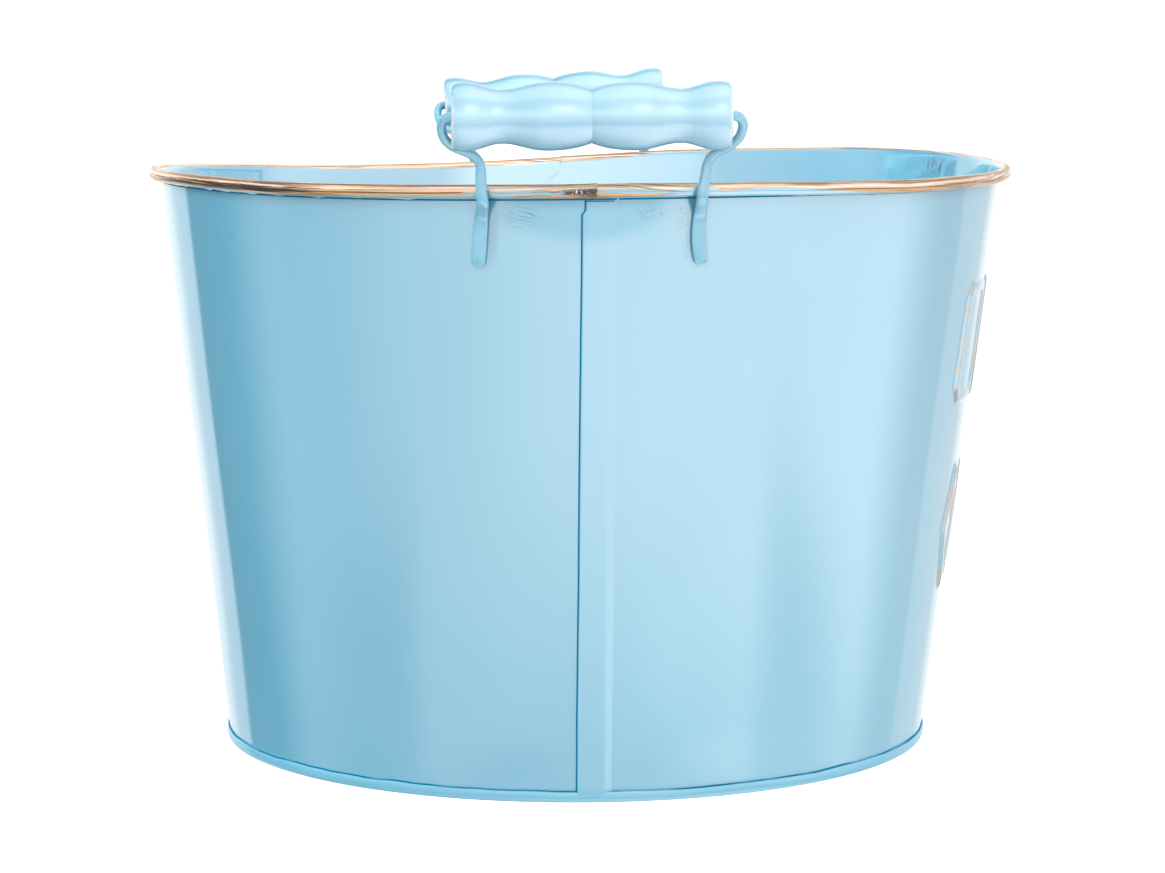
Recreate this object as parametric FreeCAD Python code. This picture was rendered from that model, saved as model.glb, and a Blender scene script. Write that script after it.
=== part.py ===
"""Oval sheet-metal tub with two turned-wood grips on bent wire handles.

Frame: +Z up, the tub stands on z = 0. +X is across the tub, towards the side with the raised ornament, and
+Y runs along it, from the front handle to the rear one. The origin is the middle of the rim's oval, on the
floor. Lengths are in millimetres and angles in degrees.
"""
import FreeCAD, Part
import math
import os

V = FreeCAD.Vector

# ---- sheet metal ----
SHEET = 0.5            # thickness of the wall sheets and of the base pan
FOLD_SHEET = 0.42      # the folded seam is pressed a little thinner
LAYER = 0.55           # from one folded layer to the next
CLEAR = 0.1            # free space between pieces that are only pressed together

# ---- wall: a flaring oval, given on the middle of the sheet ----
FOOT_HALF_X = 140.8    # half width at the floor
FOOT_HALF_Y = 187.3    # half length at the floor
FLARE = 0.1265         # how far the wall spreads for each millimetre of height
FOOT_SHIFT_X = -3.0    # the foot stands this far off the rim's middle
WALL_BOTTOM = 0.65     # the sheet's lower edge, held in the base pan's hem
STATIONS = 28          # sections along each wall sheet

# ---- rim: the wall's top edge rolled outwards over a steel wire ----
RIM_HEIGHT = 227.3     # middle of the rim wire, before its unevenness
RIM_WIRE_R = 1.9
CURL_INNER_R = 2.0
CURL_SWEEP = 313.0     # how far the sheet wraps round the wire
WIRE_STATIONS = 60
WIRE_SIDES = 24        # arcs round the wire, so that its mesh stays round
WIRE_JOINT = 0.2       # half the angle left free where the rim wire's ends meet, at the rear
# the rim isn't level: how much it rises or falls round the oval
SIDES_RISE = 1.4       # both long sides up, both ends down
RIGHT_RISE = 1.3       # +X side up, -X side down
FRONT_RISE = 0.7
TWIST = 1.65           # right rear and left front up, the other two quarters down
THREE_LOBE_COS = -1.05
THREE_LOBE_SIN = 0.78
REAR_HUMP = 1.35       # a soft hump near the rear handle
REAR_HUMP_AT = 78.0
REAR_HUMP_WIDTH = 20.0

# ---- lock seams, where the two wall sheets hook into each other at both ends ----
# a place on a seam is given by s, its distance from the seam's middle towards the covering sheet
SEAM_X = -2.3          # middle of the seams, at half height
SEAM_LEAN = 2.2        # how far a seam's top stands to +X of its foot
SEAM_HALF = 4.5        # half the width of the folded band
HOOK_END = 3.6         # where each hook's free edge lies
FOLD_TURN = 0.3        # how far a fold's round end stands past the band
FOLD_CORNER = 0.35     # bevel of a fold's corners
JOGGLE_START = 5.2     # the covering sheet steps down to the wall from here
JOGGLE_END = 7.2       # to here
EMBED = 1.6            # a hook's strip runs this far into its sheet
CURL_JOINT = 0.15      # the two curls butt with this much free on each side
SEAM_BELOW_RIM = 3.2   # the folded band stops this far under the rim wire's middle
SHEET_BELOW_RIM = 2.9  # and the plain sheet above it starts here
CUT_OUT = (-2.0, 8.0)  # blocks that cut a sheet away reach from here inside it to here outside
CUT_SLIVER = 2.0       # how far past its middle line the covering sheet is cut away below the rim
CUT_FOOT = -5.0
CUT_ABOVE_RIM = 8.0

# ---- base pan, with the hem that grips the wall ----
PAN_FLOOR = 3.4        # upper face of the pan
HEM_HEIGHT = 4.2
HEM_OUT = 1.45         # the hem's outside, from the middle of the wall sheet

# ---- raised ornament on the +X side: a row of plaques over a row of lozenges ----
RELIEF = 1.1           # how far it stands out of the wall
RELIEF_INSET = 0.6     # the hollow behind it is smaller by this much all round
ORNAMENTS_IN_ROW = 4
PLAQUE_Z = (138.0, 187.0)
PLAQUE_WIDTH = 36.0
PLAQUE_PITCH = 47.0
PLAQUE_CORNER = 6.0
LOZENGE_Z = (61.0, 114.0)
LOZENGE_WIDTH = 28.0
LOZENGE_PITCH = 38.0
RELIEF_REACH = 42      # the raised layer covers this many degrees each way from +X
RELIEF_BAND = (30.0, 210.0)  # and these heights
RELIEF_ROOT = 0.15     # it starts inside the sheet, this far out from its middle
HOLLOW_ROOT = -0.6     # and the hollow starts inside the tub
PUNCH_X = (100.0, 200.0)     # the blocks that cut its figures out reach between these

# ---- handles: one bent wire each, its ends flattened into feet and welded to the wall ----
HANDLE_X = -3.5        # middle of both handles
GRIP_Y = 229.4         # the grip's axis, out from the rim's middle
GRIP_Z = (254.5, 253.3)   # front, rear
HANDLE_TILT = (0.0, 2.46)  # the rear handle is welded on out of level, its +X end up
WIRE_R = 1.8
BENDS = (3.4, 4.2, 5.4)    # radii at the grip's end, under it and at the top of the leg
# corners of the wire's path from the grip's middle: along x, in towards the tub, up
HOOK_OUT = (55.0, 0.0, 0.0)
HOOK_UNDER = (51.5, 9.5, -10.3)
LEG_TOP = (40.7, 11.9, -15.6)
LEG_X = (39.5, 38.0)       # front, rear
LEG_END_BELOW_RIM = 0.6    # the round wire ends here, beside the rim, and the foot starts
LEG_OFF_BEAD = 0.15
FOOT_ROOT = 1.2            # the foot's solid starts this far up inside the round wire
FOOT_ROOT_R = 1.6
# the foot's sections: below the rim wire's middle, off the wall, half width, half thickness
FOOT_SECTIONS = (
    (4.6, 3.0, 2.15, 1.3),
    (7.2, 1.35, 2.6, 1.0),
    (9.6, 0.35, 2.75, 0.87),
    (12.0, 0.03, 2.8, 0.85),
    (15.0, 0.0, 2.85, 0.85),
    (19.0, 0.0, 2.85, 0.85),
    (24.0, 0.0, 2.75, 0.85),
    (26.0, 0.0, 2.2, 0.75),
    (27.2, 0.0, 1.0, 0.5),
)
FOOT_SPLAY = 1.4       # the foot's end stands this much further out than its top
FOOT_STAND_OFF = 0.3   # the weld buttons hold the foot this far off the wall
WELD_DROPS = (15.5, 21.5)
WELD_R = 1.6
WELD_THICK = 0.16

# ---- turned grip: half its outline as places along the axis and radii ----
GRIP_HALF = 50.0
GRIP_END_R = 11.6
GRIP_FLARE_X = 44.8
GRIP_FLARE_R = 12.4
NECK_X = 31.3
NECK_R = 9.7
BARREL_X = 15.6
BARREL_R = 12.3
GROOVE_R = 9.75
GRIP_EDGE = 1.0        # rounding of the end's edge
BORE_R = 1.87
GROOVE_RISE = V(0.82, 0.57, 0)   # the outline's direction as it leaves the middle groove
END_FALL = V(0.94, -0.34, 0)     # and as it reaches the end's edge


# ------------------------------------------------------------------ the wall's surface
def centre_x(z):
    """The middle of the wall's oval at height z."""
    return FOOT_SHIFT_X * (1 - z / RIM_HEIGHT)


def half_sizes(z):
    return FOOT_HALF_X + FLARE * z, FOOT_HALF_Y + FLARE * z


def wall_normal(phi, z):
    """The wall's outward direction, level. phi is 0 at +X and 90 at the rear."""
    a = math.radians(phi)
    half_x, half_y = half_sizes(z)
    normal = V(math.cos(a) / half_x, math.sin(a) / half_y, 0)
    normal.normalize()
    return normal


def wall_point(phi, z, out=0.0):
    """A point on the middle of the wall sheet, or out millimetres outside it."""
    a = math.radians(phi)
    half_x, half_y = half_sizes(z)
    point = V(centre_x(z) + half_x * math.cos(a), half_y * math.sin(a), z)
    return point + wall_normal(phi, z) * out


def rim_z(phi):
    """Height of the rim wire's middle."""
    a = math.radians(phi)
    z = RIM_HEIGHT + SIDES_RISE * math.cos(2 * a) + RIGHT_RISE * math.cos(a) - FRONT_RISE * math.sin(a)
    z += TWIST * math.sin(2 * a) + THREE_LOBE_COS * math.cos(3 * a) + THREE_LOBE_SIN * math.sin(3 * a)
    away = (phi - REAR_HUMP_AT + 180) % 360 - 180
    return z + REAR_HUMP * math.exp(-(away / REAR_HUMP_WIDTH) ** 2)


def phi_of_x(end, x, z):
    """The angle where the wall at height z crosses x. end is -1 at the front and +1 at the rear."""
    half_x, _ = half_sizes(z)
    return end * math.degrees(math.acos((x - centre_x(z)) / half_x))


def phi_of_seam(end, s, z):
    """The angle at s from the seam's middle. The covering sheet is at +X in front and at -X at the rear."""
    middle = SEAM_X + SEAM_LEAN * (z / RIM_HEIGHT - 0.5)
    return phi_of_x(end, middle - end * s, z)


# ------------------------------------------------------------------ sections of the wall and its rolled rim
class Station:
    """A plane across the wall, given by its angle at the floor and at the rim."""

    def __init__(self, phi_low, phi_high):
        low, high = wall_point(phi_low, 0), wall_point(phi_high, rim_z(phi_high))
        self.up = high - low
        self.up.normalize()
        level = wall_normal(phi_high, RIM_HEIGHT)
        self.out = level - self.up * level.dot(self.up)
        self.out.normalize()
        self.wire_middle = high + self.out * (CURL_INNER_R + SHEET / 2)

    def at(self, out, up):
        """A point from the rim wire's middle."""
        return self.wire_middle + self.out * out + self.up * up

    def polar(self, radius, degrees):
        a = math.radians(degrees)
        return self.at(radius * math.cos(a), radius * math.sin(a))

    def section(self, z_low):
        """The sheet's outline from height z_low up to and round the rim wire."""
        inner_r, outer_r, stop = CURL_INNER_R, CURL_INNER_R + SHEET, 180 - CURL_SWEEP
        drop = (z_low - self.wire_middle.z) / self.up.z
        edges = [straight(self.at(-outer_r, drop), self.at(-outer_r, 0))]
        edges += self.arcs(outer_r, 180, stop)
        edges += [straight(self.polar(outer_r, stop), self.polar(inner_r, stop))]
        edges += self.arcs(inner_r, stop, 180)
        edges += [straight(self.at(-inner_r, 0), self.at(-inner_r, drop))]
        edges += [straight(self.at(-inner_r, drop), self.at(-outer_r, drop))]
        return Part.Wire(edges)

    def arcs(self, radius, start, stop, count=3):
        """Arcs round the rim wire, as count equal edges."""
        edges = []
        for i in range(count):
            a = start + (stop - start) * i / count
            b = start + (stop - start) * (i + 1) / count
            middle = self.polar(radius, (a + b) / 2)
            edges.append(Part.Arc(self.polar(radius, a), middle, self.polar(radius, b)).toShape())
        return edges


def straight(a, b):
    return Part.LineSegment(a, b).toShape()


# ------------------------------------------------------------------ folded seams
def offset_outline(path, half):
    """The closed outline of a strip along a plane path, half to each side, with mitred corners."""
    left, right = [], []
    for i, (x, y) in enumerate(path):
        turns = []
        for a, b in zip(path[max(i - 1, 0):i + 1], path[max(i, 1):i + 2]):
            length = math.hypot(b[0] - a[0], b[1] - a[1])
            turns.append((-(b[1] - a[1]) / length, (b[0] - a[0]) / length))
        nx, ny = sum(t[0] for t in turns), sum(t[1] for t in turns)
        reach = half / (nx * turns[0][0] + ny * turns[0][1])
        left.append((x + nx * reach, y + ny * reach))
        right.append((x - nx * reach, y - ny * reach))
    return left + right[::-1]


def triangle(a, b, c):
    return Part.Face(Part.makePolygon([a, b, c, a]))


def prism_between(low, high):
    """A solid between two rings of points that match one to one. Each ring's two halves face each other."""
    count, faces = len(low), []
    for i in range(count):
        j = (i + 1) % count
        faces += [triangle(low[i], low[j], high[j]), triangle(low[i], high[j], high[i])]
    for ring in (low, high):
        for k in range(count // 2 - 1):
            a, b, c, d = ring[k], ring[k + 1], ring[count - 2 - k], ring[count - 1 - k]
            faces += [triangle(a, b, c), triangle(a, c, d)]
    solid = Part.makeSolid(Part.makeShell(faces))
    if solid.Volume < 0:
        solid.reverse()
    return solid


def seam_prism(end, outline, z_low, below_rim):
    """An upright piece with a strip's outline, in (s, out), from z_low to below_rim under the rim wire."""
    low, high = [], []
    for s, out in outline:
        low.append(wall_point(phi_of_seam(end, s, z_low), z_low, out))
        z_high = rim_z(phi_of_seam(end, 0, RIM_HEIGHT)) - below_rim
        high.append(wall_point(phi_of_seam(end, s, z_high), z_high, out))
    return prism_between(low, high)


def seam_block(end, s_from, s_to, z_low, below_rim):
    """A block across the wall, for cutting one sheet away where the other one lies."""
    inside, outside = CUT_OUT
    outline = [(s_from, inside), (s_to, inside), (s_to, outside), (s_from, outside)]
    return seam_prism(end, outline, z_low, below_rim)


def cover_hook(end):
    """The covering sheet's edge: it steps out over the band and is folded in and back."""
    top, low = 3 * LAYER, LAYER
    turn = -SEAM_HALF - FOLD_TURN
    path = [(JOGGLE_END + EMBED, 0), (JOGGLE_END, 0), (JOGGLE_START, top), (-SEAM_HALF, top)]
    path += [(turn, top - FOLD_CORNER), (turn, low + FOLD_CORNER), (-SEAM_HALF, low), (HOOK_END, low)]
    return seam_prism(end, offset_outline(path, FOLD_SHEET / 2), HEM_HEIGHT + CLEAR, SEAM_BELOW_RIM)


def tongue_hook(end):
    """The other sheet's edge: it runs on under the band and is folded out and back."""
    top = 2 * LAYER
    turn = SEAM_HALF + FOLD_TURN
    path = [(SEAM_HALF - EMBED, 0), (SEAM_HALF, 0), (turn, FOLD_CORNER), (turn, top - FOLD_CORNER)]
    path += [(SEAM_HALF, top), (-HOOK_END, top)]
    return seam_prism(end, offset_outline(path, FOLD_SHEET / 2), HEM_HEIGHT + CLEAR, SEAM_BELOW_RIM)


# ------------------------------------------------------------------ raised ornament
def wall_layer(out_from, out_to, reach):
    """The space between two surfaces that follow the wall, reach degrees each way from +X."""
    low, high = RELIEF_BAND
    outline = ((low, out_from), (low, out_to), (high, out_to), (high, out_from))
    sections = []
    for i in range(-6, 7):
        corners = [wall_point(reach * i / 6, z, out) for z, out in outline]
        sections.append(Part.makePolygon(corners + corners[:1]))
    return Part.makeLoft(sections, True, False)


def ornament(width, z_range, y, kind, inset):
    """A block through the wall with a plaque's or a lozenge's outline, inset all round."""
    low, high = z_range[0] + inset, z_range[1] - inset
    half, middle = width / 2 - inset, (z_range[0] + z_range[1]) / 2
    if kind == "plaque":
        corner = PLAQUE_CORNER
        level = half - corner
        outline = [(-level, low), (level, low), (half, low + corner), (half, high - corner)]
        outline += [(level, high), (-level, high), (-half, high - corner), (-half, low + corner)]
    else:
        outline = [(0, low), (half, middle), (0, high), (-half, middle)]
    near, far = PUNCH_X
    points = [V(near, y + u, z) for u, z in outline]
    return Part.Face(Part.makePolygon(points + points[:1])).extrude(V(far - near, 0, 0))


def emboss(sheet):
    """Raise the ornament on the +X side, with a hollow behind each figure."""
    raised = wall_layer(RELIEF_ROOT, SHEET / 2 + RELIEF, RELIEF_REACH)
    hollow = wall_layer(HOLLOW_ROOT, RELIEF - SHEET / 2, RELIEF_REACH + 1)
    rows = (("plaque", PLAQUE_WIDTH, PLAQUE_Z, PLAQUE_PITCH),
            ("lozenge", LOZENGE_WIDTH, LOZENGE_Z, LOZENGE_PITCH))
    for kind, width, z_range, pitch in rows:
        for i in range(ORNAMENTS_IN_ROW):
            y = pitch * (i - (ORNAMENTS_IN_ROW - 1) / 2)
            sheet = sheet.fuse(raised.common(ornament(width, z_range, y, kind, 0)))
            sheet = sheet.cut(hollow.common(ornament(width, z_range, y, kind, RELIEF_INSET)))
    return sheet


# ------------------------------------------------------------------ tub pieces
def wall_sheet(cover_end):
    """One wall sheet, from its covering edge at one end of the tub round to its tongue at the other."""
    tongue_end = -cover_end
    start = [phi_of_seam(cover_end, CURL_JOINT, z) for z in (0, RIM_HEIGHT)]
    stop = [phi_of_seam(tongue_end, SEAM_HALF, z) for z in (0, RIM_HEIGHT)]
    if cover_end > 0:
        stop = [phi + 360 for phi in stop]
    sections = []
    for i in range(STATIONS + 1):
        t = i / STATIONS
        low, high = (a + (b - a) * t for a, b in zip(start, stop))
        sections.append(Station(low, high).section(WALL_BOTTOM))
    sheet = Part.makeLoft(sections, True, False)
    sheet = sheet.cut(seam_block(cover_end, -CUT_SLIVER, JOGGLE_END, CUT_FOOT, SHEET_BELOW_RIM))
    tongue_top = rim_z(90 * tongue_end) - SEAM_BELOW_RIM
    sheet = sheet.cut(seam_block(tongue_end, -CURL_JOINT, JOGGLE_END, tongue_top, -CUT_ABOVE_RIM))
    sheet = sheet.fuse(cover_hook(cover_end))
    return sheet.fuse(tongue_hook(tongue_end))


def oval(z, out):
    """The closed outline of an oval parallel to the wall's at height z, out from it."""
    half_x, half_y = half_sizes(z)
    curve = Part.Ellipse(V(0, 0, 0), half_y + out, half_x + out)
    curve.rotate(FreeCAD.Placement(V(0, 0, 0), V(0, 0, 1), 90))
    edge = curve.toShape()
    edge.translate(V(centre_x(z), 0, z))
    return Part.Wire(edge)


def oval_block(z_low, z_high, out):
    return Part.makeLoft([oval(z_low, out), oval(z_high, out)], True, True)


def base_pan():
    """A flat pan whose rim goes down, under the wall's lower edge and up outside it."""
    pan = oval_block(0, HEM_HEIGHT, HEM_OUT)
    inner_out = -SHEET / 2 - CLEAR
    pan = pan.cut(oval_block(PAN_FLOOR, HEM_HEIGHT + 1, inner_out))
    slot = oval_block(SHEET, HEM_HEIGHT + 1, SHEET / 2 + CLEAR)
    slot = slot.cut(oval_block(SHEET, HEM_HEIGHT + 1, inner_out))
    return pan.cut(slot).cut(oval_block(-1, PAN_FLOOR - SHEET, inner_out - SHEET))


def rim_wire():
    """The steel wire inside the rolled rim, bent round with its ends meeting at the rear."""
    sections = []
    for i in range(WIRE_STATIONS + 1):
        phi = 90 + WIRE_JOINT + (360 - 2 * WIRE_JOINT) * i / WIRE_STATIONS
        sections.append(Part.Wire(Station(phi, phi).arcs(RIM_WIRE_R, 0, 360, WIRE_SIDES)))
    return Part.makeLoft(sections, True, False)


# ------------------------------------------------------------------ handles
def handle_point(end, side, along, inward, up):
    """A point from the grip's middle. side is -1 for the leg at -X and +1 for the one at +X."""
    which = 0 if end < 0 else 1
    tilt = math.radians(HANDLE_TILT[which])
    x = side * along * math.cos(tilt) - up * math.sin(tilt)
    z = side * along * math.sin(tilt) + up * math.cos(tilt)
    return V(HANDLE_X + x, end * (GRIP_Y - inward), GRIP_Z[which] + z)


class Leg:
    """Where a handle's leg passes the rim and lies on the wall."""

    def __init__(self, end, side):
        self.end = end
        self.side = side
        self.station = self.station_at(0)

    def station_at(self, drop):
        leg_x = LEG_X[0 if self.end < 0 else 1]
        x = HANDLE_X + self.side * (leg_x + FOOT_SPLAY * max(drop, 0) / FOOT_SECTIONS[-1][0])
        phi = phi_of_x(self.end, x, RIM_HEIGHT)
        return Station(phi, phi)

    def round_end(self):
        """The centre of the round wire's end, just outside the rolled rim."""
        out = CURL_INNER_R + SHEET + LEG_OFF_BEAD + WIRE_R
        return self.station.at(out, -LEG_END_BELOW_RIM)

    def foot_centre(self, drop, off, half_thick):
        out = -CURL_INNER_R + FOOT_STAND_OFF + half_thick + off
        return self.station_at(drop).at(out, -drop)

    def foot(self):
        """The flattened end, lofted down from inside the round wire."""
        end = self.round_end()
        rise = handle_point(self.end, self.side, *LEG_TOP) - end
        rise.normalize()
        centres = [end + rise * FOOT_ROOT, end]
        centres += [self.foot_centre(drop, off, thick) for drop, off, _, thick in FOOT_SECTIONS]
        halves = [(FOOT_ROOT_R, FOOT_ROOT_R)] * 2 + [(wide, thick) for _, _, wide, thick in FOOT_SECTIONS]
        across = self.station.up.cross(self.station.out)
        across.normalize()
        sections = []
        for i, (centre, (wide, thick)) in enumerate(zip(centres, halves)):
            before, after = centres[max(i - 1, 0)], centres[min(i + 1, len(centres) - 1)]
            along = after - before
            along.normalize()
            out = across.cross(along)
            out.normalize()
            sections.append(flat_ring(centre, across, out, wide, thick))
        return Part.makeLoft(sections, True, False)

    def weld(self, drop):
        """The button of metal between the foot and the wall."""
        station = self.station_at(drop)
        gap = (FOOT_STAND_OFF - WELD_THICK) / 2
        return Part.makeCylinder(WELD_R, WELD_THICK, station.at(-CURL_INNER_R + gap, -drop), station.out)


def flat_ring(centre, across, out, half_wide, half_thick):
    """An oval ring through eight points, which is round where both halves are the same."""
    points = []
    for i in range(8):
        a = math.radians(45 * i)
        points.append(centre + across * (half_wide * math.cos(a)) + out * (half_thick * math.sin(a)))
    curve = Part.BSplineCurve()
    curve.interpolate(Points=points, PeriodicFlag=True)
    return Part.Wire(curve.toShape())


def rounded_path(points, radii):
    """Straight runs with a tangent arc at each inner point."""
    edges, last = [], points[0]
    for before, corner, after, radius in zip(points, points[1:], points[2:], radii):
        back, ahead = before - corner, after - corner
        back.normalize()
        ahead.normalize()
        half = back.getAngle(ahead) / 2
        bisector = back + ahead
        bisector.normalize()
        enter, leave = corner + back * (radius / math.tan(half)), corner + ahead * (radius / math.tan(half))
        middle = corner + bisector * (radius / math.sin(half) - radius)
        edges += [straight(last, enter), Part.Arc(enter, middle, leave).toShape()]
        last = leave
    return Part.Wire(edges + [straight(last, points[-1])])


def handle(end):
    """One handle: through the grip, back under its ends, down past the rim and flat on the wall."""
    legs = [Leg(end, side) for side in (-1, 1)]
    corners = []
    for leg in legs:
        down = [handle_point(end, leg.side, *place) for place in (HOOK_OUT, HOOK_UNDER, LEG_TOP)]
        corners.append(down + [leg.round_end()])
    left, right = corners
    path = rounded_path(left[::-1] + right, BENDS[::-1] + BENDS)
    start, direction = left[-1], left[-2] - left[-1]
    ring = Part.Wire(Part.Circle(start, direction, WIRE_R).toShape())
    wire = path.makePipeShell([ring], True, True)
    expected = math.pi * WIRE_R ** 2 * path.Length
    print(f"handle wire: volume {wire.Volume:.0f}, section times length {expected:.0f}")
    return [wire] + [leg.foot() for leg in legs], legs


# ------------------------------------------------------------------ grips
def half_profile():
    """The turned outline from the middle groove to the rounded edge of the end."""
    points = [V(0, GROOVE_R, 0), V(BARREL_X, BARREL_R, 0), V(NECK_X, NECK_R, 0)]
    points += [V(GRIP_FLARE_X, GRIP_FLARE_R, 0), V(GRIP_HALF - GRIP_EDGE, GRIP_END_R, 0)]
    level = V(1, 0, 0)
    tangents = [GROOVE_RISE, level, level, level, END_FALL]
    curve = Part.BSplineCurve()
    curve.interpolate(Points=points, Tangents=tangents, TangentFlags=[True] * len(tangents))
    edge_end = V(GRIP_HALF, GRIP_END_R - GRIP_EDGE, 0)
    edge_middle = edge_end + V(-0.27, 0.7, 0) * GRIP_EDGE
    rounding = Part.Arc(points[-1], edge_middle, edge_end).toShape()
    return [curve.toShape(), rounding, straight(edge_end, V(GRIP_HALF, BORE_R, 0))]


def grip(end):
    """The turned grip, with the wire's hole through it."""
    half = half_profile()
    mirrored = [edge.mirror(V(0, 0, 0), V(1, 0, 0)) for edge in half]
    bore = straight(V(-GRIP_HALF, BORE_R, 0), V(GRIP_HALF, BORE_R, 0))
    outline = Part.Wire(Part.__sortEdges__(half + mirrored + [bore]))
    solid = Part.Face(outline).revolve(V(0, 0, 0), V(1, 0, 0), 360)
    solid.rotate(V(0, 0, 0), V(0, 1, 0), -HANDLE_TILT[0 if end < 0 else 1])
    solid.translate(handle_point(end, 1, 0, 0, 0))
    return solid


# ------------------------------------------------------------------ all nodes
def save(name, shape):
    """Write one node, which has to be one whole solid."""
    solid = shape.Solids[0]
    if len(shape.Solids) != 1 or not solid.isValid():
        raise ValueError(f"{name} has {len(shape.Solids)} solids, valid {solid.isValid()}")
    solid.exportStep(f"parts/{name}.step")
    print(f"{name}: {solid.Volume:.1f} mm3")


def main():
    os.makedirs("parts", exist_ok=True)
    save("wall_right", emboss(wall_sheet(-1)))
    save("wall_left", wall_sheet(1))
    save("base_pan", base_pan())
    save("rim_wire", rim_wire())
    for end, place in ((-1, "front"), (1, "rear")):
        pieces, legs = handle(end)
        save(f"{place}_handle", pieces[0].fuse(pieces[1:]))
        save(f"{place}_grip", grip(end))
        for leg, side in zip(legs, ("left", "right")):
            for drop, level in zip(WELD_DROPS, ("upper", "lower")):
                save(f"{place}_{side}_{level}_weld", leg.weld(drop))


if __name__ == "__main__":
    main()
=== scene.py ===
"""The looks of the oval painted tub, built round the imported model.

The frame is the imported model's: +Z up, the tub stands on z = 0, +Y runs from the front handle to the rear
one and +X is the side with the raised ornament. Sizes are in millimetres unless a comment says otherwise.
"""
import bpy
import math
import numpy as np
from mathutils import Matrix, Vector


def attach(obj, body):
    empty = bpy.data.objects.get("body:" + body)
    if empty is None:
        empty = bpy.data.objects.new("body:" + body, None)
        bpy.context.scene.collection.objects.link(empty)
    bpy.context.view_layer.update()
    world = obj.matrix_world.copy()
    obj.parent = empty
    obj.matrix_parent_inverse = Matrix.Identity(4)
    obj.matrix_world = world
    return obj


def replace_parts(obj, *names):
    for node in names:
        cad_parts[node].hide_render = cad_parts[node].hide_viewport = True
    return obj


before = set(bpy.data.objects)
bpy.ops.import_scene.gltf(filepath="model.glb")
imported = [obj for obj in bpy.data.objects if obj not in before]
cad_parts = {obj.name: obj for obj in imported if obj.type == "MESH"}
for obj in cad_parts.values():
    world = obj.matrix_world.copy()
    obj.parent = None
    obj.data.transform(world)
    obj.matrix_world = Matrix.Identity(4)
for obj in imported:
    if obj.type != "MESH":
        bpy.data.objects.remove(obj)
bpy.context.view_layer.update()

TAU = 2 * math.pi

# ---- wall: a flaring oval, given on the middle of the sheet ----
SHEET = 0.5
FOOT_HALF_X = 140.8
FOOT_HALF_Y = 187.3
FLARE = 0.1265
FOOT_SHIFT_X = -3.0
WALL_BOTTOM = 0.65

# ---- rolled rim ----
RIM_HEIGHT = 227.3
CURL_R = 2.25          # middle of the rolled sheet, from the rim wire's middle
CURL_SWEEP = 285.0     # the sheet goes this far round the wire, then turns in to the wall
SIDES_RISE = 1.4
RIGHT_RISE = 1.3
FRONT_RISE = 0.7
TWIST = 1.65
THREE_LOBE_COS = -1.05
THREE_LOBE_SIN = 0.78
REAR_HUMP = 1.35
REAR_HUMP_AT = math.radians(78.0)
REAR_HUMP_WIDTH = math.radians(20.0)

# ---- seams: s is the distance from the seam's middle towards the covering sheet ----
SEAM_X = -2.3
SEAM_LEAN = 2.2
PAD_OUT = 1.35         # how far the folded band stands out of the wall

# ---- base pan ----
PAN_FLOOR = 3.4
HEM_HEIGHT = 4.2
HEM_OUT = 1.45

# ---- ornament on the +X side ----
RELIEF = 1.1
ORNAMENTS_IN_ROW = 4
PLAQUE_Z = (138.0, 187.0)
PLAQUE_WIDTH = 36.0
PLAQUE_PITCH = 47.0
PLAQUE_CORNER = 6.0
LOZENGE_Z = (61.0, 114.0)
LOZENGE_WIDTH = 28.0
LOZENGE_PITCH = 38.0

# ---- handles and grips ----
HANDLE_X = -3.5
GRIP_Y = 229.4
GRIP_Z = (254.5, 253.3)
HANDLE_TILT = (0.0, 2.46)
WIRE_R = 1.8
HOOKS = {  # from the grip's middle: along the grip, inward over the tub, up
    -1: ((44.0, 0, 0), (50.0, 0, 0), (52.3, 1.0, -0.8), (53.4, 3.0, -3.0), (53.2, 5.2, -5.8),
         (52.0, 7.4, -8.4), (49.3, 9.2, -10.8), (45.2, 10.4, -12.6), (41.6, 11.3, -14.4),
         (39.7, 11.9, -17.2)),
    1: ((44.0, 0, 0), (50.6, 0, 0), (53.1, 1.2, -0.9), (54.3, 3.2, -3.2), (54.0, 5.4, -5.9),
        (52.9, 7.5, -8.4), (50.6, 9.3, -10.7), (47.2, 10.5, -12.5), (44.0, 11.4, -14.4),
        (42.3, 12.0, -17.0))}
LEG_LINES = {  # how far each leg is from the handle's middle, at depths below the rim wire
    (-1, -1): ((-11.0, 39.7), (0.0, 39.2), (3.0, 38.8), (27.3, 41.0)),
    (-1, 1): ((-11.0, 42.0), (-6.0, 40.9), (0.0, 40.4), (5.0, 40.4), (14.0, 39.9), (20.0, 40.2),
              (27.3, 41.6)),
    (1, -1): ((-11.0, 37.0), (0.0, 36.4), (3.0, 36.6), (27.3, 38.6)),
    (1, 1): ((-11.0, 41.5), (0.0, 39.6), (3.0, 39.4), (27.3, 40.8))}

GAP_FAR = 4.0          # shadow lines are looked for no farther than this
COAT_IOR = 2.7         # a thick glossy coat that mirrors the white wall at its sides


# ---- smooth noise and small helpers
def wobble(x, wavelength, seed, octaves=3):
    """Smooth seeded noise along a line, about -1 to 1, for arrays of places in millimetres."""
    rng = np.random.default_rng(seed)
    total, size = np.zeros_like(np.asarray(x, float)), 0.0
    for octave in range(octaves):
        step = wavelength / 1.9 ** octave
        values = rng.uniform(-1, 1, 4096)
        place = np.asarray(x, float) / step + 500.0 + 31.7 * octave
        low = np.floor(place).astype(int)
        t = place - low
        t = t * t * (3 - 2 * t)
        total += (values[low % 4096] * (1 - t) + values[(low + 1) % 4096] * t) * 0.55 ** octave
        size += 0.55 ** octave
    return total / size * 1.3


def step_up(x, start, stop):
    """0 before start, 1 after stop and smooth between, either way round."""
    t = np.clip((np.asarray(x, float) - start) / (stop - start), 0, 1)
    return t * t * (3 - 2 * t)


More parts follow.
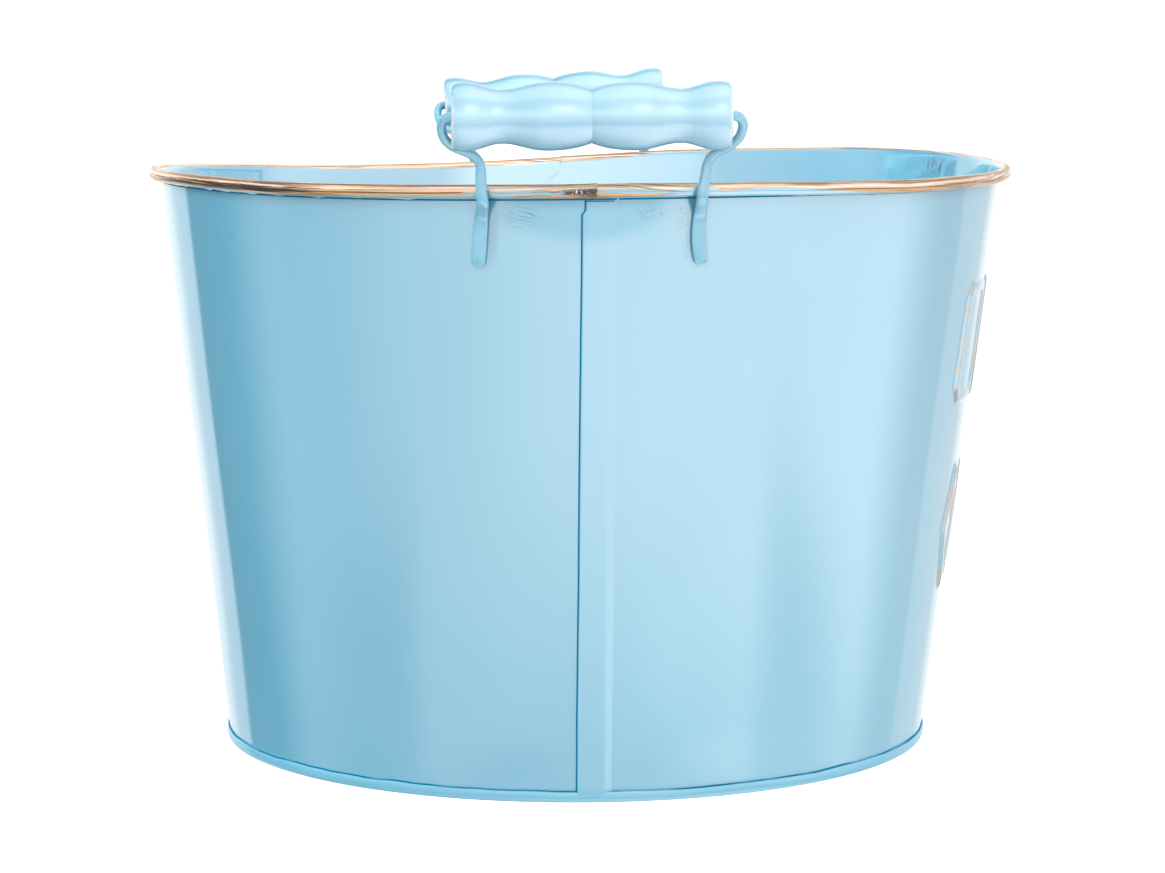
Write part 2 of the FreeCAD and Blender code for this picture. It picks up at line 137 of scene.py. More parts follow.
def bump_at(x, centre, width):
    return np.exp(-((np.asarray(x, float) - centre) / width) ** 2)


# ---- the wall's surface, in arrays of millimetres
def half_sizes(z):
    return FOOT_HALF_X + FLARE * z, FOOT_HALF_Y + FLARE * z


def centre_x(z):
    return FOOT_SHIFT_X * (1 - z / RIM_HEIGHT)


def wall_normal(phi, z):
    half_x, half_y = half_sizes(z)
    nx, ny = np.cos(phi) / half_x, np.sin(phi) / half_y
    size = np.hypot(nx, ny)
    return np.stack([nx / size, ny / size, np.zeros_like(nx)], -1)


def wall_point(phi, z, out=0.0):
    half_x, half_y = half_sizes(z)
    middle = np.stack([centre_x(z) + half_x * np.cos(phi), half_y * np.sin(phi), z + 0 * phi], -1)
    return middle + wall_normal(phi, z) * np.asarray(out)[..., None]


def rim_z(phi):
    z = RIM_HEIGHT + SIDES_RISE * np.cos(2 * phi) + RIGHT_RISE * np.cos(phi) - FRONT_RISE * np.sin(phi)
    z = z + TWIST * np.sin(2 * phi) + THREE_LOBE_COS * np.cos(3 * phi) + THREE_LOBE_SIN * np.sin(3 * phi)
    away = (phi - REAR_HUMP_AT + math.pi) % TAU - math.pi
    return z + REAR_HUMP * np.exp(-(away / REAR_HUMP_WIDTH) ** 2)


def phi_of_x(end, x, z):
    half_x, _ = half_sizes(z)
    return end * np.arccos((x - centre_x(z)) / half_x)


def phi_of_seam(end, s, z):
    """The angle at s from the seam's middle. The covering sheet is at +X in front and at -X at the rear."""
    middle = SEAM_X + SEAM_LEAN * (z / RIM_HEIGHT - 0.5)
    return phi_of_x(end, middle - end * np.asarray(s, float), z)


def rim_frame(phi):
    """The rim wire's middle, the outward direction and the wall's upward direction at each angle."""
    height = rim_z(phi)
    low, high = wall_point(phi, 0 * phi), wall_point(phi, height)
    up = high - low
    up /= np.linalg.norm(up, axis=-1, keepdims=True)
    level = wall_normal(phi, RIM_HEIGHT + 0 * phi)
    out = level - up * np.sum(level * up, -1, keepdims=True)
    out /= np.linalg.norm(out, axis=-1, keepdims=True)
    return high + out * CURL_R, out, up


def hem_lift(phi):
    """How uneven the hem's upper edge is."""
    closed = np.sin(phi) * 60 + np.cos(phi) * 47
    around = (phi % TAU) * 165
    seamless = np.sqrt(np.abs(np.sin(phi / 2)))
    return 0.62 * wobble(closed, 24, 81) + 0.34 * wobble(around, 13, 82) * seamless


# ---- meshes
def link(name, data):
    piece = bpy.data.objects.new(name, data)
    bpy.context.scene.collection.objects.link(piece)
    return piece


def new_object(name, points, faces, body, material, smooth_angle=40):
    """A piece from points in millimetres."""
    mesh = bpy.data.meshes.new(name)
    mesh.from_pydata((np.asarray(points) / 1000.0).tolist(), [], faces)
    mesh.update()
    mesh.shade_smooth()
    mesh.set_sharp_from_angle(angle=math.radians(smooth_angle))
    mesh.materials.append(material)
    piece = link(name, mesh)
    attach(piece, body)
    return piece


def grid_faces(rows, columns, wrap_rows=False, wrap_columns=False):
    """Quads of a grid whose points run row by row."""
    r = np.arange(rows if wrap_rows else rows - 1)
    c = np.arange(columns if wrap_columns else columns - 1)
    rr, cc = np.meshgrid(r, c, indexing="ij")
    r2, c2 = (rr + 1) % rows, (cc + 1) % columns
    quads = np.stack([rr * columns + cc, rr * columns + c2, r2 * columns + c2, r2 * columns + cc], -1)
    return quads.reshape(-1, 4).tolist()


def tube_faces(rows, count, flip=False):
    """Faces of a tube of rings, closed by fans round two middle points that come after the rings."""
    faces = grid_faces(rows, count, wrap_columns=True)
    if flip:
        faces = [face[::-1] for face in faces]
    first, last, last_ring = rows * count, rows * count + 1, (rows - 1) * count
    for c in range(count):
        a, b = (c, (c + 1) % count) if flip else ((c + 1) % count, c)
        faces += [[first, a, b], [last, last_ring + b, last_ring + a]]
    return faces


def set_attribute(piece, name, values):
    """A number or a vector at each point, for the material."""
    values = np.asarray(values, np.float32)
    kind, key = ("FLOAT", "value") if values.ndim == 1 else ("FLOAT_VECTOR", "vector")
    layer = piece.data.attributes.new(name, kind, "POINT")
    layer.data.foreach_set(key, values.ravel())


def skin(name, side_a, side_b, attributes, body, material, smooth_angle=40):
    """A closed sheet between two faces, each a grid of points [around, along, 3].

    attributes are given on the same grid.
    """
    rows, columns = side_a.shape[:2]
    ring = np.concatenate([side_a, side_b[:, ::-1]], 1)
    width = 2 * columns
    faces = grid_faces(rows, width, wrap_columns=True)
    for row, flip in ((0, False), (rows - 1, True)):
        for c in range(columns - 1):
            a, b = row * width + c, row * width + c + 1
            d, e = row * width + width - 1 - c, row * width + width - 2 - c
            faces.append([a, b, e, d] if flip else [d, e, b, a])
    piece = new_object(name, ring.reshape(-1, 3), faces, body, material, smooth_angle)
    for key, (on_a, on_b) in attributes.items():
        both = np.concatenate([on_a, on_b[:, ::-1]], 1)
        set_attribute(piece, key, both.reshape(-1, *both.shape[2:]))
    return piece


# ---- wall sheets with their rolled rims
CURL_JOINT = 0.06      # the two curls butt with this much free on each side
COVER_SHIFT = 6.2      # below the rim, the covering sheet's own edge hides behind the folded band
TONGUE_SHIFT = 3.4     # and the other sheet runs on under it
SHIFT_REACH = 24.0
SHIFT_TOP = (4.2, 8.0)  # the edges come back to the joint between these depths under the rim
LIP_TARGET = (-1.5, -3.35)
ROLL_RISE = (  # how far the rolled sheet rises off the wire, at angles round the tub
    (0, -0.2), (36, 0.0), (84, 0.1), (111, 0.25), (137, 0.25), (151, 0.45), (180, 0.5), (203, 0.45),
    (225, 0.3), (248, 0.45), (262, 0.55), (275, 0.5), (287, 0.1), (300, -0.3), (312, -0.5), (330, -0.35))


def column_places(cover_end):
    """How far along a sheet its columns are, 0 to 1: close together at the ends and across the ornament."""
    start = phi_of_seam(cover_end, CURL_JOINT, RIM_HEIGHT)
    stop = phi_of_seam(-cover_end, -CURL_JOINT, RIM_HEIGHT)
    if cover_end > 0:
        stop += TAU
    fine = np.linspace(start, stop, 4001)
    half_x, half_y = half_sizes(RIM_HEIGHT * 0.6)
    pace = np.hypot(half_x * np.sin(fine), half_y * np.cos(fine))
    arc = np.concatenate([[0], np.cumsum((pace[1:] + pace[:-1]) / 2 * np.diff(fine))])
    y = half_y * np.sin(fine)
    spacing = np.full_like(fine, 1.9)
    if cover_end < 0:
        spacing -= 0.75 * (np.abs(y) < 96)
    spacing -= 1.2 * np.maximum(bump_at(arc, 0, 6), bump_at(arc, arc[-1], 6)) * (spacing > 1.5)
    count = np.concatenate([[0], np.cumsum(np.diff(arc) / spacing[1:])])
    columns = int(count[-1])
    t = np.interp(np.linspace(0, count[-1], columns), count, np.linspace(0, 1, 4001))
    return t, np.interp(t, np.linspace(0, 1, 4001), arc)


def wall_rows(ornament):
    """Heights of the rows up the wall, as parts of the rim's height."""
    rows = [WALL_BOTTOM, 2.5]
    while rows[-1] < RIM_HEIGHT - 10:
        z = rows[-1]
        fine = ornament and any(low - 3 < z < high + 3 for low, high in (LOZENGE_Z, PLAQUE_Z))
        rows.append(z + (1.15 if fine else 4.0))
    rows += [RIM_HEIGHT - d for d in (8.0, 6.5, 5.5, 4.6, 3.8, 3.0, 2.2, 1.4, 0.7)]
    return np.array(rows) / RIM_HEIGHT


def dents(arc, z, seed):
    """The slow unevenness of hand-bent sheet."""
    rng = np.random.default_rng(seed)
    total = np.zeros(np.broadcast(arc, z).shape)
    for _ in range(9):
        length = rng.uniform(55, 190)
        heading = rng.uniform(-0.9, 0.9)
        phase = rng.uniform(0, TAU)
        along = arc * math.cos(heading) + z * math.sin(heading)
        total += np.sin(TAU * along / length + phase) * length / 190
    return 0.075 * total * step_up(z, 4, 25) * (1 - step_up(z, RIM_HEIGHT - 22, RIM_HEIGHT - 5))


def ornament_depth(y, z):
    """How far inside a figure's outline each point is: negative outside all of them."""
    depth = np.full(np.broadcast(y, z).shape, -1e3)
    for i in range(ORNAMENTS_IN_ROW):
        place = i - (ORNAMENTS_IN_ROW - 1) / 2
        u = np.abs(y - PLAQUE_PITCH * place)
        v = np.abs(z - sum(PLAQUE_Z) / 2)
        half_u, half_v = PLAQUE_WIDTH / 2, (PLAQUE_Z[1] - PLAQUE_Z[0]) / 2
        corner = (half_u + half_v - PLAQUE_CORNER - u - v) / math.sqrt(2)
        plaque = np.minimum(np.minimum(half_u - u, half_v - v), corner)
        u = np.abs(y - LOZENGE_PITCH * place)
        v = np.abs(z - sum(LOZENGE_Z) / 2)
        half_u, half_v = LOZENGE_WIDTH / 2, (LOZENGE_Z[1] - LOZENGE_Z[0]) / 2
        lozenge = (1 - u / half_u - v / half_v) / math.hypot(1 / half_u, 1 / half_v)
        depth = np.maximum(depth, np.maximum(plaque, lozenge))
    return depth


def relief(depth):
    """Height of the pressed figures: a raised border round a lower middle."""
    return RELIEF * (step_up(depth, 0.0, 1.6) - 0.55 * step_up(depth, 4.2, 5.8))


def rim_edge_drop(arc, left_sheet):
    """How far the rolled sheet's cut edge hangs down, with the crinkles left by rolling it."""
    rng = np.random.default_rng(11 if left_sheet else 12)
    drop = 0.30 * wobble(arc, 34, 21 + left_sheet) + 0.12 * wobble(arc, 6, 31 + left_sheet)
    place = rng.uniform(4, 12)
    while place < arc[-1]:
        size = rng.uniform(0.35, 1.0) * (1.0 if left_sheet else 0.55)
        width = rng.uniform(1.0, 2.6)
        # a fold's edge falls fast on one side and slowly on the other
        side = np.where(arc > place, 1.0, 2.8)
        drop += size * np.exp(-np.abs((arc - place) / (width * side)) ** 1.5)
        place += rng.uniform(7, 24) if left_sheet else rng.uniform(16, 60)
    return drop


def wall_sheet(name, cover_end, material):
    """One wall sheet: its wall, its rolled rim and the curl's cut edge."""
    left_sheet = cover_end > 0
    tongue_end = -cover_end
    t, arc = column_places(cover_end)
    rows = wall_rows(not left_sheet)
    turn = TAU if left_sheet else 0.0
    ends = [(phi_of_seam(cover_end, CURL_JOINT, z), phi_of_seam(tongue_end, -CURL_JOINT, z) + turn)
            for z in (0.0, RIM_HEIGHT)]
    low, high = (a + (b - a) * t for a, b in ends)
    height = rim_z(high)

    # the wall's two faces
    z = WALL_BOTTOM + (height[:, None] - WALL_BOTTOM) * (rows - rows[0]) / (1 - rows[0])
    phi = low[:, None] + (high - low)[:, None] * (z / RIM_HEIGHT)
    below = step_up(height[:, None] - z, *SHIFT_TOP)
    shift = COVER_SHIFT * bump_at(arc, 0, SHIFT_REACH) + TONGUE_SHIFT * bump_at(arc, arc[-1], SHIFT_REACH)
    phi = phi + below * shift[:, None] / half_sizes(z)[0]
    seamless = step_up(arc, 8, 30) * step_up(arc[-1] - arc, 8, 30)
    offset = dents(arc[:, None] + 640 * left_sheet, z, 5) * seamless[:, None]
    depth = np.full(z.shape, -1e3)
    if not left_sheet:
        y = wall_point(phi, z)[..., 1]
        depth = np.where(np.cos(phi) > 0, ornament_depth(y, z), -1e3)
        offset = offset + relief(depth)
    inner = wall_point(phi, z, offset - SHEET / 2)
    outer = wall_point(phi, z, offset + SHEET / 2)

    # the curl round the rim wire, then the lip that turns in to the wall
    round_wire, down_lip = np.linspace(0, 1, 40)[1:], np.linspace(0, 1, 5)[1:]
    middle, out, up = rim_frame(high)
    to_tongue, to_cover = arc[-1] - arc, arc
    swell = 0.05 * wobble(arc, 28, 41 + left_sheet)
    swell += 0.28 * np.exp(-to_tongue / 7) - 0.12 * np.exp(-to_cover / 9)
    sway_out = 0.16 * wobble(arc, 70, 51 + left_sheet)
    sway_up = 0.16 * wobble(arc, 55, 61 + left_sheet)
    sway_up += np.interp(np.degrees(high), *np.array(ROLL_RISE).T, period=360)
    drop = rim_edge_drop(arc, left_sheet)
    lip_reach = np.maximum((0.30 if left_sheet else 0.10) + drop, 0.05)
    near_seam = np.maximum(bump_at(to_tongue, 0, 8), bump_at(to_cover, 0, 10))
    stand = 0.35 * near_seam + 0.22 * np.clip(drop - 0.3, 0, 1)
    angles = np.radians(180 - np.linspace(0, CURL_SWEEP, 40)[1:])
    grow = step_up(round_wire, 0.0, 0.35)
    start = CURL_R * np.array([math.cos(angles[-1]), math.sin(angles[-1])])
    heading = np.array(LIP_TARGET) - start
    heading /= np.linalg.norm(heading)

    def at_rim(outward, upward):
        return middle[:, None] + out[:, None] * outward[..., None] + up[:, None] * upward[..., None]

    sides = []
    for wall, side in ((inner, 1), (outer, -1)):
        radius = CURL_R + side * SHEET / 2 + swell[:, None] * grow
        ringed = at_rim(radius * np.cos(angles) + sway_out[:, None] * grow,
                        radius * np.sin(angles) + sway_up[:, None] * grow)
        beside = np.array([-heading[1], heading[0]]) * side * SHEET * 0.42
        lip_out = start[0] + beside[0] + heading[0] * lip_reach[:, None] * down_lip
        lip_out = lip_out + stand[:, None] * down_lip
        lip_up = start[1] + beside[1] + heading[1] * lip_reach[:, None] * down_lip
        lip = at_rim(lip_out + sway_out[:, None], lip_up + sway_up[:, None])
        sides.append(np.concatenate([wall, ringed, lip], 1))
    side_a, side_b = sides

    round_rim = np.tile(np.concatenate([round_wire, 1 + 0.1 * down_lip]), (len(t), 1))
    curl = np.concatenate([(z - height[:, None]) / 100.0, round_rim], 1)
    no_curl = np.where(np.arange(curl.shape[1]) < len(rows), -3.0, curl)
    place = (arc + 640 * left_sheet)[:, None] + 0 * curl
    steps = np.linalg.norm(np.diff(side_a, axis=1), axis=-1)
    travel = np.concatenate([np.zeros((len(t), 1)), np.cumsum(steps, 1)], 1)
    flow = np.stack([place, travel, np.zeros_like(place)], -1) / 1000.0
    angle = np.broadcast_to((high % TAU)[:, None], curl.shape)
    joint = np.broadcast_to(1.1 * left_sheet * np.exp(-((to_tongue / 13) ** 2))[:, None], curl.shape)
    dark = 0.95 * bump_at(angle, math.radians(216), 0.36) + 0.3 * bump_at(angle, math.radians(335), 0.25)
    ridge = np.zeros_like(curl)
    ridge[:, :len(rows)] = bump_at(depth, 1.3, 0.9) + 0.8 * bump_at(depth, 4.6, 0.7)
    # how far the wall is from the shadow lines: under the rolled sheet's cut edge and over the base hem
    far = np.full(curl.shape, GAP_FAR)
    far[:, -1] = 0.0
    gap = far.copy()
    lip_end = np.maximum(-(start[1] + heading[1] * lip_reach + sway_up), 2.7)
    below_lip = height[:, None] - z - lip_end[:, None] - 0.30
    over_hem = z - HEM_HEIGHT - 0.9 * hem_lift(phi) - 0.25
    gap[:, :len(rows)] = np.clip(np.where(z > 100, below_lip, over_hem), -GAP_FAR, GAP_FAR)
    sheet = np.full(curl.shape, 0.0 if left_sheet else 1.0)
    attributes = {"flow": (flow, flow), "curl": (curl, no_curl), "dark": (dark + joint, dark + joint),
                  "ridge": (0 * ridge, ridge), "gap": (far, gap), "sheet": (sheet, sheet)}
    return skin(name, side_a, side_b, attributes, "tub", material)


FOLD_EDGE = (  # the folded edge from the wall up: s, height over the wall, how far from the shadow line
    (-5.62, 0.02, 0.4), (-5.52, 0.05, 0.0), (-5.05, 0.06, 0.0), (-4.97, 0.25, 0.0), (-5.00, 0.55, 0.4),
    (-4.98, 0.85, 4.0), (-4.90, 1.05, 4.0), (-4.76, 1.20, 4.0), (-4.55, 1.29, 4.0), (-4.2, 1.34, 4.0))


def seam_fold(name, end, material):
    """The folded band of a lock seam, standing out of the wall, from the base hem up to the rolled rim."""
    edge = np.array(FOLD_EDGE)
    rest = np.array([-3.6, -2.4, -1.0, 0.4, 1.8, 3.0, 4.0, 4.6, 5.1, 5.6, 6.0, 6.4, 6.8, 7.2, 7.6, 8.0, 8.4])
    s = np.concatenate([edge[:, 0], rest])
    level = np.concatenate([edge[:, 1], PAD_OUT * (1 - step_up(rest, 4.3, 8.2))])
    near = np.concatenate([edge[:, 2], np.full(len(rest), GAP_FAR)])
    top = RIM_HEIGHT - np.array([10, 9.2, 8.4, 7.6, 6.8, 6.0, 5.2, 4.6, 3.9, 3.5, 1.5])
    z = np.concatenate([[2.0, 4.0], np.linspace(6, RIM_HEIGHT - 12, 60), top])
    top_shift = rim_z(np.array(end * math.pi / 2)) - RIM_HEIGHT
    z = z + top_shift * step_up(z, 100, RIM_HEIGHT - 12)
    depth = RIM_HEIGHT + top_shift - z
    squeeze = 1 - 0.30 * step_up(depth, 16.0, 4.4) - 0.7 * step_up(depth, 3.95, 3.5)
    free = np.clip(-s / 4.8, 0, 1)[:, None]
    kink = 1.2 * step_up(depth, 8.6, 7.0)
    place = s[:, None] + (kink + 0.16 * wobble(z, 46, 71 + end)) * free
    phi = phi_of_seam(end, place, z[None] + 0 * place)
    height = np.broadcast_to(z, place.shape)
    pad = level[:, None] * np.where(level[:, None] > 0.1, squeeze, 1.0)
    outer = wall_point(phi, height, SHEET / 2 - 0.02 + pad)
    inner = wall_point(phi, height, 0 * place + 0.10)
    flow = np.stack([place + 900, height, 0 * place], -1) / 1000.0
    plain, none = np.zeros_like(place), np.zeros_like(place) - 3.0
    gap = np.broadcast_to(near[:, None], place.shape)
    sheet = plain + (1.0 if end < 0 else 0.0)
    attributes = {"flow": (flow, flow), "curl": (none, none), "dark": (plain, plain),
                  "ridge": (plain, plain), "gap": (gap, gap), "sheet": (sheet, sheet)}
    return skin(name, inner, outer, attributes, "tub", material, smooth_angle=60)


# ---- base pan
FLOOR_RINGS = (0.12, 0.25, 0.4, 0.55, 0.7, 0.82, 0.9, 0.95, 0.98)  # sizes of the floor's ovals
PAN_EDGE = -SHEET / 2 - 0.1    # the floor's edge, out from the middle of the wall sheet
PAN_UNDER = PAN_FLOOR - SHEET
HEM_SECTION = (  # out from the wall, height, how much it follows the hem's uneven edge
    (PAN_EDGE - 1.2, PAN_FLOOR, 0), (PAN_EDGE - 0.3, PAN_FLOOR - 0.05, 0), (PAN_EDGE, PAN_FLOOR - 0.4, 0),
    (PAN_EDGE, 0.7, 0), (PAN_EDGE + 0.2, 0.5, 0), (0.15, 0.5, 0), (0.35, 0.7, 0), (0.35, 1.8, 0),
    (0.34, HEM_HEIGHT - 0.9, 0.8), (0.38, HEM_HEIGHT - 0.35, 1), (0.55, HEM_HEIGHT - 0.05, 1),
    (0.80, HEM_HEIGHT + 0.06, 1), (1.05, HEM_HEIGHT, 1), (1.25, HEM_HEIGHT - 0.28, 1),
    (1.38, HEM_HEIGHT - 0.7, 0.9), (HEM_OUT, HEM_HEIGHT - 1.5, 0.6), (HEM_OUT + 0.02, 1.6, 0.2),
    (HEM_OUT - 0.05, 0.8, 0), (HEM_OUT - 0.3, 0.25, 0), (HEM_OUT - 0.7, 0.02, 0), (0.3, 0.0, 0),
    (-0.4, 0.04, 0), (-0.72, 0.3, 0), (-0.85, 0.8, 0), (-0.85, PAN_UNDER - 0.5, 0),
    (-1.1, PAN_UNDER - 0.08, 0), (-1.8, PAN_UNDER, 0))


def base_pan(name, material):
    """The bottom with its hem.

    Its section runs from the middle of the floor out, down, under and up round the hem, and back.
    """
    count = 420
    phi = np.linspace(0, TAU, count, endpoint=False)
    around = phi * 165
    lift = hem_lift(phi)
    lean = 0.22 * wobble(np.sin(phi) * 60 + np.cos(phi) * 47, 17, 83) + 0.12
    section = [(scale, 0.0, PAN_FLOOR, 0) for scale in FLOOR_RINGS]
    section += [(1, *place) for place in HEM_SECTION]
    section += [(scale, 0.0, PAN_UNDER, 0) for scale in FLOOR_RINGS[::-1]]
    middle = np.array([centre_x(2.0), 0, 0])
    rings = []
    for scale, out, z, lip in section:
        if scale < 1:
            ring = middle + (wall_point(phi, 2 + 0 * phi, PAN_EDGE - 1.2) - middle) * scale
            height = z + 0.175 * (1 - scale ** 2) * np.sin(phi * 2 + 1)
        else:
            height = z + lip * lift * 0.9
            ring = wall_point(phi, np.maximum(height, 0) + 0 * phi, out + lip * lean * (out > 0.5))
        ring[:, 2] = height
        rings.append(ring)
    rows = len(rings)
    everything = np.concatenate([*rings, [rings[0].mean(0)], [rings[-1].mean(0)]])
    faces = tube_faces(rows, count, flip=True)
    piece = new_object(name, everything, faces, "tub", material, 50)
    flow = np.stack(np.broadcast_arrays(around[None], np.arange(rows)[:, None] * 1.0, 0.0), -1)
    set_attribute(piece, "flow", np.concatenate([flow.reshape(-1, 3), np.zeros((2, 3))]) / 1000.0)
    for key, value in (("curl", -3.0), ("dark", 0.0), ("ridge", 0.0), ("gap", GAP_FAR), ("sheet", 0.5)):
        set_attribute(piece, key, np.full(len(everything), value))
    return piece


# ---- handles
def handle_point(end, side, along, inward, up):
    """A point from the grip's middle. side is -1 for the leg at -X and +1 for the one at +X."""
    which = 0 if end < 0 else 1
    tilt = math.radians(HANDLE_TILT[which])
    x = side * along * math.cos(tilt) - up * math.sin(tilt)
    z = side * along * math.sin(tilt) + up * math.cos(tilt)
    return np.array([HANDLE_X + x, end * (GRIP_Y - inward), GRIP_Z[which] + z])


def smooth_line(points, steps=14):
    """A centripetal Catmull-Rom curve through points."""
    points = np.asarray(points, float)
    points = np.vstack([2 * points[0] - points[1], points, 2 * points[-1] - points[-2]])
    line = []
    for p0, p1, p2, p3 in zip(points, points[1:], points[2:], points[3:]):
        gaps = [max(np.linalg.norm(b - a), 1e-6) ** 0.5 for a, b in ((p0, p1), (p1, p2), (p2, p3))]
        t1, t2, t3 = gaps[0], gaps[0] + gaps[1], sum(gaps)
        for t in np.linspace(t1, t2, steps, endpoint=False):
            a1 = p0 * (t1 - t) / t1 + p1 * t / t1
            a2 = p1 * (t2 - t) / (t2 - t1) + p2 * (t - t1) / (t2 - t1)
            a3 = p2 * (t3 - t) / (t3 - t2) + p3 * (t - t2) / (t3 - t2)
            b1 = a1 * (t2 - t) / t2 + a2 * t / t2
            b2 = a2 * (t3 - t) / (t3 - t1) + a3 * (t - t1) / (t3 - t1)
            line.append(b1 * (t2 - t) / (t2 - t1) + b2 * (t - t1) / (t2 - t1))
    line.append(points[-2])
    return np.array(line)


FOOT_SECTIONS = (  # below the rim wire's middle, outward from it, half width, half thickness
    (0.0, 4.50, 2.12, 1.70),
    (2.2, 4.32, 2.18, 1.56),
    (3.2, 3.98, 2.22, 1.44),
    (4.6, 2.85, 2.28, 1.30),
    (6.4, 1.10, 2.36, 1.12),
    (8.2, -0.15, 2.44, 0.97),
    (9.6, -0.64, 2.55, 0.90),
    (11.5, -0.84, 2.60, 0.86),
    (15.0, -0.87, 2.68, 0.84),
    (19.0, -0.87, 2.74, 0.84),
    (23.0, -0.87, 2.76, 0.84),
    (24.8, -0.88, 2.66, 0.82),
    (26.0, -0.89, 2.35, 0.78),
    (26.9, -0.90, 1.75, 0.70),
    (27.3, -0.92, 0.90, 0.55),
)


def leg_places(end, side):
    """The leg from the rim down to the foot's end: centre, half width, half thickness, outward, depth."""
    places = []
    for drop, out, wide, thick in FOOT_SECTIONS:
        x = HANDLE_X + side * np.interp(drop, *np.array(LEG_LINES[end, side]).T)
        _, outward, _ = rim_frame(phi_of_x(end, x, RIM_HEIGHT))
        middle, outward, up = rim_frame(phi_of_x(end, x - outward[0] * (out + CURL_R), RIM_HEIGHT))
        places.append((middle + outward * out - up * drop, wide, thick, outward, drop))
    return places


def flat_section(half_wide, half_thick, count=28):
    """A ring that is round where both halves are the same and a rounded bar where one is smaller."""
    a = np.linspace(0, TAU, count, endpoint=False)
    power = 1 + 0.45 * (1 - half_thick / half_wide)
    rounded = [np.sign(way) * np.abs(way) ** (1 / power) for way in (np.cos(a), np.sin(a))]
    return half_wide * rounded[0], half_thick * rounded[1]


def handle(name, end, material):
    """One bent wire: its bow through the grip, its hooks under the grip's ends and its flattened feet."""
    places = []
    for side in (-1, 1):
        hook = [handle_point(end, side, *place) for place in HOOKS[side]]
        foot = leg_places(end, side)
        shoulder = foot[0][0] * 0.45 + hook[-1] * 0.55
        level = np.array([0, end * 1.0, 0])
        leg = [(centre, WIRE_R, WIRE_R, level, -20.0) for centre in hook]
        leg += [(shoulder, 2.04, 1.78, level, -6.0)] + foot
        places += leg[::-1] if side < 0 else leg
    points, wide, thick, outward, drop = (np.array(column) for column in zip(*places))
    line = smooth_line(points, 6)
    knots, pick = np.linspace(0, len(points) - 1, len(line)), np.arange(len(points))
    wide, thick, drop = (np.interp(knots, pick, column) for column in (wide, thick, drop))
    outward = np.stack([np.interp(knots, pick, outward[:, i]) for i in range(3)], -1)
    along = np.gradient(line, axis=0)
    along /= np.linalg.norm(along, axis=1, keepdims=True)
    across = np.cross(along, outward)
    across /= np.maximum(np.linalg.norm(across, axis=1, keepdims=True), 1e-9)
    for i in range(1, len(across)):
        if np.dot(across[i], across[i - 1]) < 0:
            across[i] *= -1
    face = np.cross(across, along)
    rings, beside = [], []
    for p, a, f, w, t in zip(line, across, face, wide, thick):
        u, v = flat_section(w, t)
        rings.append(p + a * u[:, None] + f * v[:, None])
        beside.append(u * np.sign(a[0]))
    rings, beside = np.array(rings), np.array(beside)
    distance = np.concatenate([[0], np.cumsum(np.linalg.norm(np.diff(line, axis=0), axis=1))])
    count = rings.shape[1]
    everything = np.concatenate([rings.reshape(-1, 3), [line[0]], [line[-1]]])
    faces = tube_faces(len(line), count)
    piece = new_object(name, everything, faces, "tub", material, 50)
    tips = np.zeros((2, 3))
    ring_flow = np.stack(np.broadcast_arrays(distance[:, None], np.linspace(0, 11, count)[None], 0.0), -1)
    set_attribute(piece, "flow", np.concatenate([ring_flow.reshape(-1, 3), tips]) / 1000.0)
    leg = np.stack(np.broadcast_arrays(beside, drop[:, None], np.sign(line[:, :1] - HANDLE_X) * -end), -1)
    set_attribute(piece, "leg", np.concatenate([leg.reshape(-1, 3), tips]))
    return piece


# ---- grips
BORE_R = 1.87
GRIP_KNOTS = (  # place along the axis, radius
    (0.0, 9.75), (2.0, 10.45), (5.0, 11.25), (9.0, 11.95), (13.0, 12.25), (16.0, 12.3), (20.0, 11.95),
    (24.0, 11.05), (28.0, 10.1), (31.3, 9.72), (34.5, 9.95), (38.0, 10.95), (41.5, 11.95), (44.8, 12.38),
    (47.5, 12.2), (49.0, 11.75))
GRIP_EDGE = ((49.45, 11.5), (49.75, 11.2), (49.93, 10.8), (50.0, 10.3))
GRIP_FACE = ((50.0, 8.5), (49.95, 6.0), (49.9, 4.0), (49.85, 3.0), (49.7, 2.45), (49.3, 2.1), (48.5, BORE_R))


def grip_profile():
    x, r = np.array(GRIP_KNOTS).T
    line = smooth_line(np.stack([x, r, 0 * x], -1), 5)[:, :2]
    return np.concatenate([line, GRIP_EDGE, GRIP_FACE])


